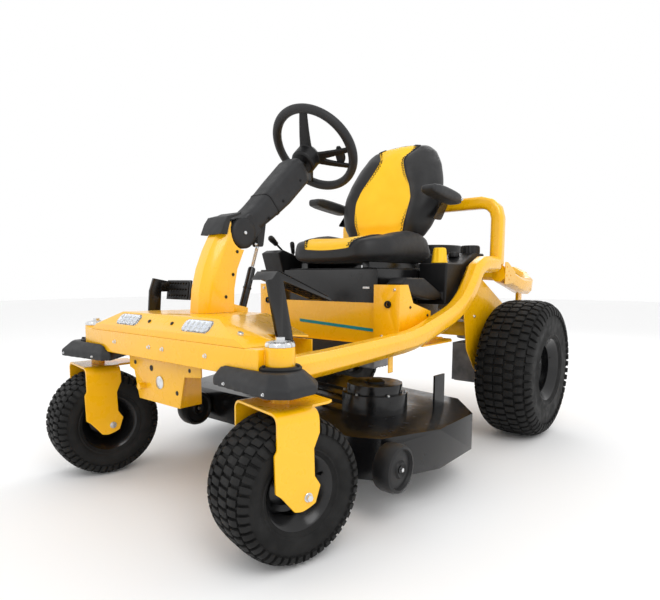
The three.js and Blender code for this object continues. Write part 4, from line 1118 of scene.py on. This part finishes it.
ARM_ROWS = ((0.840, 0.886, 0.893, 0.020), (0.848, 0.876, 0.902, 0.027), (0.880, 0.869, 0.905, 0.030),
            (0.930, 0.863, 0.903, 0.030), (0.990, 0.857, 0.897, 0.030), (1.030, 0.853, 0.893, 0.027),
            (1.056, 0.858, 0.888, 0.020), (1.066, 0.866, 0.880, 0.011))


def armrest(side, s):
    rings = []
    for i in range(41):
        y = ARM_ROWS[0][0] + (ARM_ROWS[-1][0] - ARM_ROWS[0][0]) * (0.5 - 0.5 * math.cos(math.pi * i / 40))
        low, high, half = table_at(ARM_ROWS, y)
        lean = 0.004 * math.sin(math.pi * i / 40)
        outline = rounded_square(2 * half, high - low, min(half, (high - low) / 2) * 0.75, 6)
        rings.append([at(s * (0.252 + lean) + a, y, (low + high) / 2 + b) for a, b in outline])
    fused(make(f"armrest_pad_{side}", loft(rings), f"armrest_{side}", GREY), 0.0025, 2)
    pivot = Vector(JOINTS[f"armrest_lift_{side}"]["pos_m"])
    bolts_on(f"armrest_bolt_{side}", f"armrest_{side}", [pivot + Vector((s * 0.0265, -0.004, 0.0))],
             (s, 0, 0),
             0.008, 0.004)
    bracket = bmesh.new()
    outline = fillet([(0.955, 0.800), (1.015, 0.800), (1.066, 0.862), (1.052, 0.890), (1.030, 0.880)], 0.012,
                     4)
    side_slab(bracket, outline, s * 0.2115, s * 0.2155)
    make(f"armrest_bracket_{side}", bracket, "seat_back", BLACK, stands_for=False)


for side, s in SIDES:
    armrest(side, s)


# ---- seat plate, box and frame ----
def seat_support():
    soften("seat_plate", 0.002, 2)
    soften("seat_box", 0.006, 3)
    soften("seat_frame", 0.003, 3)
    bolts_on("seat_frame_bolts", "seat_frame",
             [at(s * x, 0.5998, z) for s in (-1, 1) for x, z in ((0.240, 0.410), (0.285, 0.555))],
             (0, -1, 0), 0.006, 0.004)
    screws_on("seat_frame_screws", "seat_frame",
              [at(s * 0.3032, y, z) for s in (-1, 1) for y,
               z in ((0.700, 0.430), (0.662, 0.500), (0.770, 0.470))],
              (1, 0, 0), 0.0045)
    grommet = bmesh.new()
    for s in (-1, 1):
        lathe(grommet, [(0.0070, 0.0035), (0.0070, -0.0055), (0.0105, -0.0055), (0.0115, -0.002),
                        (0.0115, 0.0005)],
              frame_at(at(s * 0.262, 0.5995, 0.510), (0, 1, 0)), 32)
    make("wiring_grommets", grommet, "seat_frame", PLASTIC, stands_for=False)
    stripe = bmesh.new()
    front_slab(stripe, [(-0.120, 0.437), (0.196, 0.420), (0.196, 0.430), (-0.120, 0.447)], 0.6172, 0.6180)
    make("panel_stripe", stripe, "seat_frame", TEAL, stands_for=False)
    catch = bmesh.new()
    block(catch, 0.150, 0.176, 0.6225, 0.6255, 0.556, 0.563)
    bevel(make("seat_box_catch", catch, "seat_box", STEEL, stands_for=False), 0.001)


seat_support()


# ---- floor and mat ----
def floor_mat():
    bm = bmesh.new()
    plan_slab(bm, [tuple(p) for p in fillet([(-0.225, 0.262), (0.225, 0.262), (0.225, 0.598),
                                             (-0.225, 0.598)], 0.02)],
              0.3764, 0.3815)
    for i in range(42):
        y = 0.272 + i * 0.0077
        rings = []
        for x in (-0.215, 0.215):
            rings.append([at(x, y + a, 0.3812 + b) for a, b in
                          ((-0.0022, 0), (-0.0014, 0.0034), (0.0014, 0.0034), (0.0022, 0))])
        join_rings(bm, rings)
    make("mat_ribbed", bm, "foot_mat", MAT)


soften("floor_pan", 0.0015, 2)
floor_mat()


# ---- consoles, knob, caps and levers ----
def fluted(name, node, levels, centre, count, depth, material, sharp=50):
    """A turned knob whose side is fluted; levels hold (radius, height, share of the flute)."""
    rings = []
    for radius, height, flute in levels:
        ring = []
        for i in range(count * 6):
            turn = 2 * math.pi * i / (count * 6)
            r = radius - depth * flute * (0.5 + 0.5 * math.cos(count * turn))
            ring.append(centre + Vector((r * math.cos(turn), r * math.sin(turn), height)))
        rings.append(ring)
    return make(name, loft(rings), node, material, sharp=sharp)


def consoles():
    soften("console_left", 0.009, 4, 25)
    soften("console_right", 0.012, 4, 25)
    top = 0.642
    knob = at(0.265, 0.915, top)
    fluted("clutch_knob_grip", "clutch_knob",
           [(0.028, 0.001, 0.0), (0.028, 0.004, 0.0), (0.0262, 0.009, 1.0), (0.0225, 0.046, 1.0),
            (0.0205, 0.0505, 0.4),
            (0.017, 0.0525, 0.0), (0.006, 0.0530, 0.0)], knob, 8, 0.0028, KNOB)
    collar = spun([(0.015, 0), (0.019, 0.0004), (0.019, -0.003), (0.0148, -0.003)],
                  frame_at(knob + Vector((0, 0, 0.0008)), (0, 0, 1)), 32, True)
    make("knob_collar", collar, "console_left", PLASTIC, stands_for=False)
    filler = at(0.275, 1.135, 0.682)
    fluted("fuel_cap_grip", "fuel_cap",
           [(0.0355, 0.0008, 0.0), (0.036, 0.003, 0.8), (0.0355, 0.022, 1.0), (0.033, 0.0275, 0.5),
            (0.029, 0.0295, 0.0),
            (0.010, 0.0300, 0.0)], filler, 18, 0.0022, PLASTIC)
    bar = bmesh.new()
    block(bar, 0.269, 0.281, 1.110, 1.160, 0.7115, 0.7118)
    make("fuel_cap_bar", bar, "fuel_cap", PLASTIC, stands_for=False)
    fluted("breather_cap", "console_left",
                      [(0.020, 0.0, 0.0), (0.021, 0.002, 0.8), (0.020, 0.014, 1.0), (0.017, 0.017, 0.3),
                       (0.006, 0.018, 0.0)],
                      at(0.245, 1.062, 0.668), 14, 0.0016, PLASTIC)


def lever_grip(name, node, joint, grip_at, radius):
    pos = Vector(JOINTS[joint]["pos_m"])
    top = at(pos.x, *grip_at)
    along = (top - pos).normalized()
    bm = bmesh.new()
    rod(bm, pos, top, 0.004, 16)
    grip = [(radius * 0.55, -0.035), (radius * 0.8, -0.032), (radius * 0.86, -0.020), (radius, -0.004),
            (radius * 0.94, 0.006), (radius * 0.6, 0.0112), (radius * 0.2, 0.012)]
    lathe(bm, grip, frame_at(top, along), 32, closed=False)
    make(name, bm, node, PLASTIC)


consoles()
lever_grip("lift_lever_grip", "lift_lever", "lift_lever_turn", (0.655, 0.738), 0.012)
lever_grip("throttle_lever_grip", "throttle_lever", "throttle_turn", (0.730, 0.718), 0.009)


# ---- rails, hoop, bumper and rear frame ----
def tube_frame():
    for side, s in SIDES:
        soften(f"frame_rail_{side}", 0.005, 4, 25)
        bolts_on(f"rail_bolts_{side}", f"frame_rail_{side}",
                 [at(s * 0.3782, y, z) for y, z in ((0.165, 0.392),)], (s, 0, 0), 0.007, 0.005)
    soften("rear_hoop", 0.005, 3, 25)
    soften("rear_bumper", 0.008, 4, 25)
    soften("rear_frame", 0.0015, 2)
    gusset = bmesh.new()
    for s in (-1, 1):
        outline = fillet([(1.2275, 0.566), (1.2275, 0.652), (1.252, 0.650), (1.330, 0.615), (1.330, 0.572)],
                         0.006, 3)
        side_slab(gusset, outline, s * 0.3742, s * 0.3766)
    plate = make("bumper_gussets", gusset, "rear_bumper", stands_for=False)
    cutters = bmesh.new()
    for s in (-1, 1):
        for y, z in ((1.243, 0.632), (1.262, 0.616), (1.282, 0.600), (1.243, 0.600), (1.266, 0.584)):
            rod(cutters, at(s * 0.365, y, z), at(s * 0.385, y, z), 0.004, 16)
    punch(plate, cutters)
    bolts_on("bumper_leg_bolts", "rear_bumper",
             [at(s * 0.3122, 1.586, z) for s in (-1, 1) for z in (0.430, 0.470)],
             (1, 0, 0), 0.008, 0.006)
    bolts_on("rear_frame_bolts", "rear_frame",
             [at(s * 0.3192, y, z) for s in (-1, 1) for y,
              z in ((1.03, 0.57), (1.09, 0.45), (1.20, 0.35), (1.45, 0.40))],
             (1, 0, 0), 0.008, 0.006)


tube_frame()


# ---- mowing deck ----
SPINDLES = {side: Vector(JOINTS[f"spindle_spin_{side}"]["pos_m"]) for side, _ in SIDES}


def deck():
    soften("deck_shell", 0.007, 4, 30)
    for side, s in SIDES:
        x, y = SPINDLES[side].x, SPINDLES[side].y
        bolts = bmesh.new()
        for i in range(6):
            turn = 2 * math.pi * (i + 0.5) / 6
            hex_bolt(bolts, Vector((x + 0.0895 * math.cos(turn), y + 0.0895 * math.sin(turn), 0.258)),
                     (0, 0, 1), 0.006, 0.005)
        make(f"cover_bolts_{side}", bolts, "deck_shell", STEEL, stands_for=False)
        nut = bmesh.new()
        lathe(nut, [(0.030, 0), (0.030, 0.004), (0.022, 0.008), (0.010, 0.009)],
              frame_at(Vector((x, y, 0.2842)), (0, 0, 1)), 40, closed=False)
        make(f"cover_boss_{side}", nut, "deck_shell", BLACK, stands_for=False)
        spindle(side, s)
        scalp_wheel(side)
    soften("chute_flap", 0.0012, 2)
    soften("deck_belt", 0.0015, 2)


def spindle(side, s):
    """A blade with turned-up ends, its shaft and a grooved pulley."""
    centre = SPINDLES[side]
    bm = bmesh.new()
    pulley = [(0.014, 0.212), (0.064, 0.212), (0.064, 0.2145), (0.056, 0.2195), (0.064, 0.2255),
              (0.064, 0.228),
              (0.014, 0.228)]
    place = frame_at(Vector((centre.x, centre.y, 0)), (0, 0, 1))
    lathe(bm, pulley, place, 64)
    lathe(bm, [(0.010, 0.112), (0.012, 0.114), (0.012, 0.243), (0.010, 0.245)], place, 32, closed=False)
    lathe(bm, [(0.018, 0.109), (0.018, 0.113), (0.012, 0.1135), (0.010, 0.109)], place, 6)
    make(f"spindle_turned_{side}", bm, f"spindle_{side}", CASTING, sharp=30)
    blade = bmesh.new()
    turn = Matrix.Rotation(s * 0.6, 4, "Z")
    rings = []
    for y, twist in ((-0.236, 0.5), (-0.200, 0.4), (-0.170, 0.0), (0.170, 0.0), (0.200, 0.4), (0.236, 0.5)):
        edge = math.copysign(1, y)
        ring = []
        for x, z in ((-0.029, 0.1145), (0.029, 0.1145), (0.029, 0.1178), (-0.029, 0.1178)):
            rise = max(0.0, -x * edge) * twist * 0.4
            ring.append(Vector((centre.x, centre.y, 0)) + turn @ Vector((x, y, z + rise)))
        rings.append(ring)
    join_rings(blade, rings)
    make(f"blade_{side}", blade, f"spindle_{side}", STEEL, stands_for=False)


def scalp_wheel(side):
    place = frame_at(Vector(JOINTS[f"scalp_spin_{side}"]["pos_m"]), (1, 0, 0))
    half, radius = 0.025, 0.058
    profile = [(0.009, -half + 0.006), (0.018, -half + 0.001), (0.022, -half + 0.006),
               (radius - 0.014, -half + 0.008),
               (radius - 0.010, -half + 0.001), (radius - 0.003, -half + 0.003), (radius, -half + 0.012)]
    bm = spun(profile + [(r, -w) for r, w in reversed(profile)], place, 56, closed=True)
    make(f"scalp_wheel_moulded_{side}", bm, f"scalp_wheel_{side}", PLASTIC, sharp=35)
    bolt = bmesh.new()
    hex_bolt(bolt, place @ Vector((half - 0.006, 0, 0)), (1, 0, 0), 0.009, 0.008)
    make(f"scalp_bolt_{side}", bolt, f"scalp_wheel_{side}", STEEL, stands_for=False)


deck()


# ---- engine and drive ----
ENGINE_Y = 1.345


def engine():
    soften("engine_block", 0.006, 3)
    fins = bmesh.new()
    for i in range(9):
        z = 0.480 + i * 0.0125
        for y0, y1 in ((ENGINE_Y - 0.158, ENGINE_Y - 0.150), (ENGINE_Y + 0.160, ENGINE_Y + 0.166)):
            block(fins, -0.150, 0.150, y0, y1, z, z + 0.004)
    bevel(make("engine_fins", fins, "engine_block", CASTING, stands_for=False), 0.0008)
    heads = bmesh.new()
    for s in (-1, 1):
        side_slab(heads, fillet([(ENGINE_Y - 0.070, 0.490), (ENGINE_Y + 0.070, 0.490),
                                 (ENGINE_Y + 0.070, 0.575),
                                 (ENGINE_Y - 0.070, 0.575)], 0.012, 4), s * 0.1655, s * 0.185)
    bevel(make("engine_rocker_covers", heads, "engine_block", CASTING, stands_for=False), 0.003, 3)
    shroud = spun([(0.176, 0.6006), (0.179, 0.604), (0.1795, 0.665), (0.174, 0.680), (0.160, 0.688),
                   (0.136, 0.690),
                   (0.1295, 0.694), (0.1290, 0.722), (0.124, 0.728), (0.110, 0.7285)],
                  frame_at(at(0, ENGINE_Y, 0), (0, 0, 1)), 96)
    make("engine_cowl", shroud, "engine_shroud", PLASTIC, sharp=45)
    grille = bmesh.new()
    place = frame_at(at(0, ENGINE_Y, 0), (0, 0, 1))
    for radius in (0.028, 0.046, 0.064, 0.082, 0.100):
        lathe(grille, [(radius, 0.7285), (radius, 0.7296), (radius + 0.006, 0.7296),
                       (radius + 0.006, 0.7285)], place, 72)
    for i in range(12):
        turn = Matrix.Rotation(2 * math.pi * i / 12, 4, "Z")
        centre = at(0, ENGINE_Y, 0)
        outline = [(0.020, -0.0015), (0.108, -0.0015), (0.108, 0.0015), (0.020, 0.0015)]
        rings = [[centre + turn @ Vector((x, y, z)) for x, y in outline] for z in (0.7284, 0.7294)]
        join_rings(grille, rings)
    make("engine_grille", grille, "engine_shroud", PLASTIC, stands_for=False)
    canister = spun([(0.030, -0.140), (0.044, -0.139), (0.048, -0.134), (0.048, -0.010), (0.0486, -0.008),
                     (0.0486, 0.008), (0.048, 0.010), (0.048, 0.134), (0.044, 0.139), (0.030, 0.140)],
                    frame_at(at(0, ENGINE_Y + 0.158, 0.404), (1, 0, 0)), 56)
    rod(canister, at(0.130, ENGINE_Y + 0.158, 0.404), at(0.165, ENGINE_Y + 0.158, 0.404), 0.015, 32, 0.001)
    rod(canister, at(0.060, ENGINE_Y + 0.158, 0.404), at(0.060, ENGINE_Y + 0.128, 0.444), 0.014, 24)
    make("muffler_can", canister, "muffler", STEEL, sharp=40)
    crank = spun([(0.013, 0.400), (0.013, 0.405), (0.070, 0.405), (0.070, 0.408), (0.060, 0.4165),
                  (0.070, 0.425),
                  (0.070, 0.428), (0.020, 0.428), (0.013, 0.432), (0.013, 0.4596)],
                 frame_at(at(0, ENGINE_Y - 0.040, 0), (0, 0, 1)), 64)
    make("crank_sheave", crank, "crank_pulley", CASTING, sharp=30)


def transaxle(side, s):
    soften(f"transaxle_{side}", 0.006, 3)
    ribs = bmesh.new()
    for i in range(6):
        y = 1.2605 - 0.060 + i * 0.024
        block(ribs, min(s * 0.195, s * 0.280), max(s * 0.195, s * 0.280), y - 0.002, y + 0.002, 0.180, 0.1855)
    bevel(make(f"transaxle_ribs_{side}", ribs, f"transaxle_{side}", stands_for=False), 0.0008)
    fan = bmesh.new()
    centre = at(s * 0.238, 1.2605, 0)
    for i in range(8):
        turn = Matrix.Rotation(2 * math.pi * i / 8, 4, "Z")
        rings = [[centre + turn @ Vector((x, y + w, z)) for y,
                  z in ((-0.001, 0.362), (0.001, 0.362), (0.003, 0.372), (0.001, 0.372))]
                 for x, w in ((0.020, 0.0), (0.056, 0.010))]
        join_rings(fan, rings)
    make(f"transaxle_fan_{side}", fan, f"transaxle_{side}", PLASTIC, stands_for=False)


engine()
for side, s in SIDES:
    transaxle(side, s)
# ---- studio ----
def soft_light(name, place, aim, size, watts):
    """A round area lamp at place, turned towards aim."""
    data = bpy.data.lights.new(name, "AREA")
    data.shape = "DISK"
    data.size = size
    data.energy = watts
    lamp = bpy.data.objects.new(name, data)
    bpy.context.scene.collection.objects.link(lamp)
    lamp.location = place
    lamp.rotation_euler = (Vector(aim) - Vector(place)).to_track_quat("-Z", "Y").to_euler()


LIGHTS = (("key", (2.6, -1.6, 3.2), (0, 0, 0.4), 2.2, 42),
          ("fill", (-2.8, -2.6, 2.2), (0, -0.2, 0.4), 2.6, 10),
          ("back", (-1.0, 3.2, 2.8), (0, 0, 0.6), 2.4, 26))
FLOOR = {"size": 14, "shade": (0.93, 0.93, 0.93), "drop": -0.0005}


def studio():
    """A pale floor, a white world and three soft lights."""
    bm = bmesh.new()
    bmesh.ops.create_grid(bm, x_segments=1, y_segments=1, size=FLOOR["size"])
    mesh = bpy.data.meshes.new("floor")
    bm.to_mesh(mesh)
    bm.free()
    floor = bpy.data.objects.new("floor", mesh)
    bpy.context.scene.collection.objects.link(floor)
    floor.location.z = FLOOR["drop"]
    pale = new_material("pale_floor", FLOOR["shade"], 0.75, Specular_IOR_Level=0.2)
    vary_roughness(pale, noise_of(pale, 3), 0.7, 0.8)
    mesh.materials.append(pale)
    world = bpy.data.worlds.new("studio")
    world.use_nodes = True
    world.node_tree.nodes["Background"].inputs["Color"].default_value = (1, 1, 1, 1)
    world.node_tree.nodes["Background"].inputs["Strength"].default_value = 1.0
    bpy.context.scene.world = world
    for light in LIGHTS:
        soft_light(*light)
    bpy.context.scene.view_settings.view_transform = "Standard"


studio()
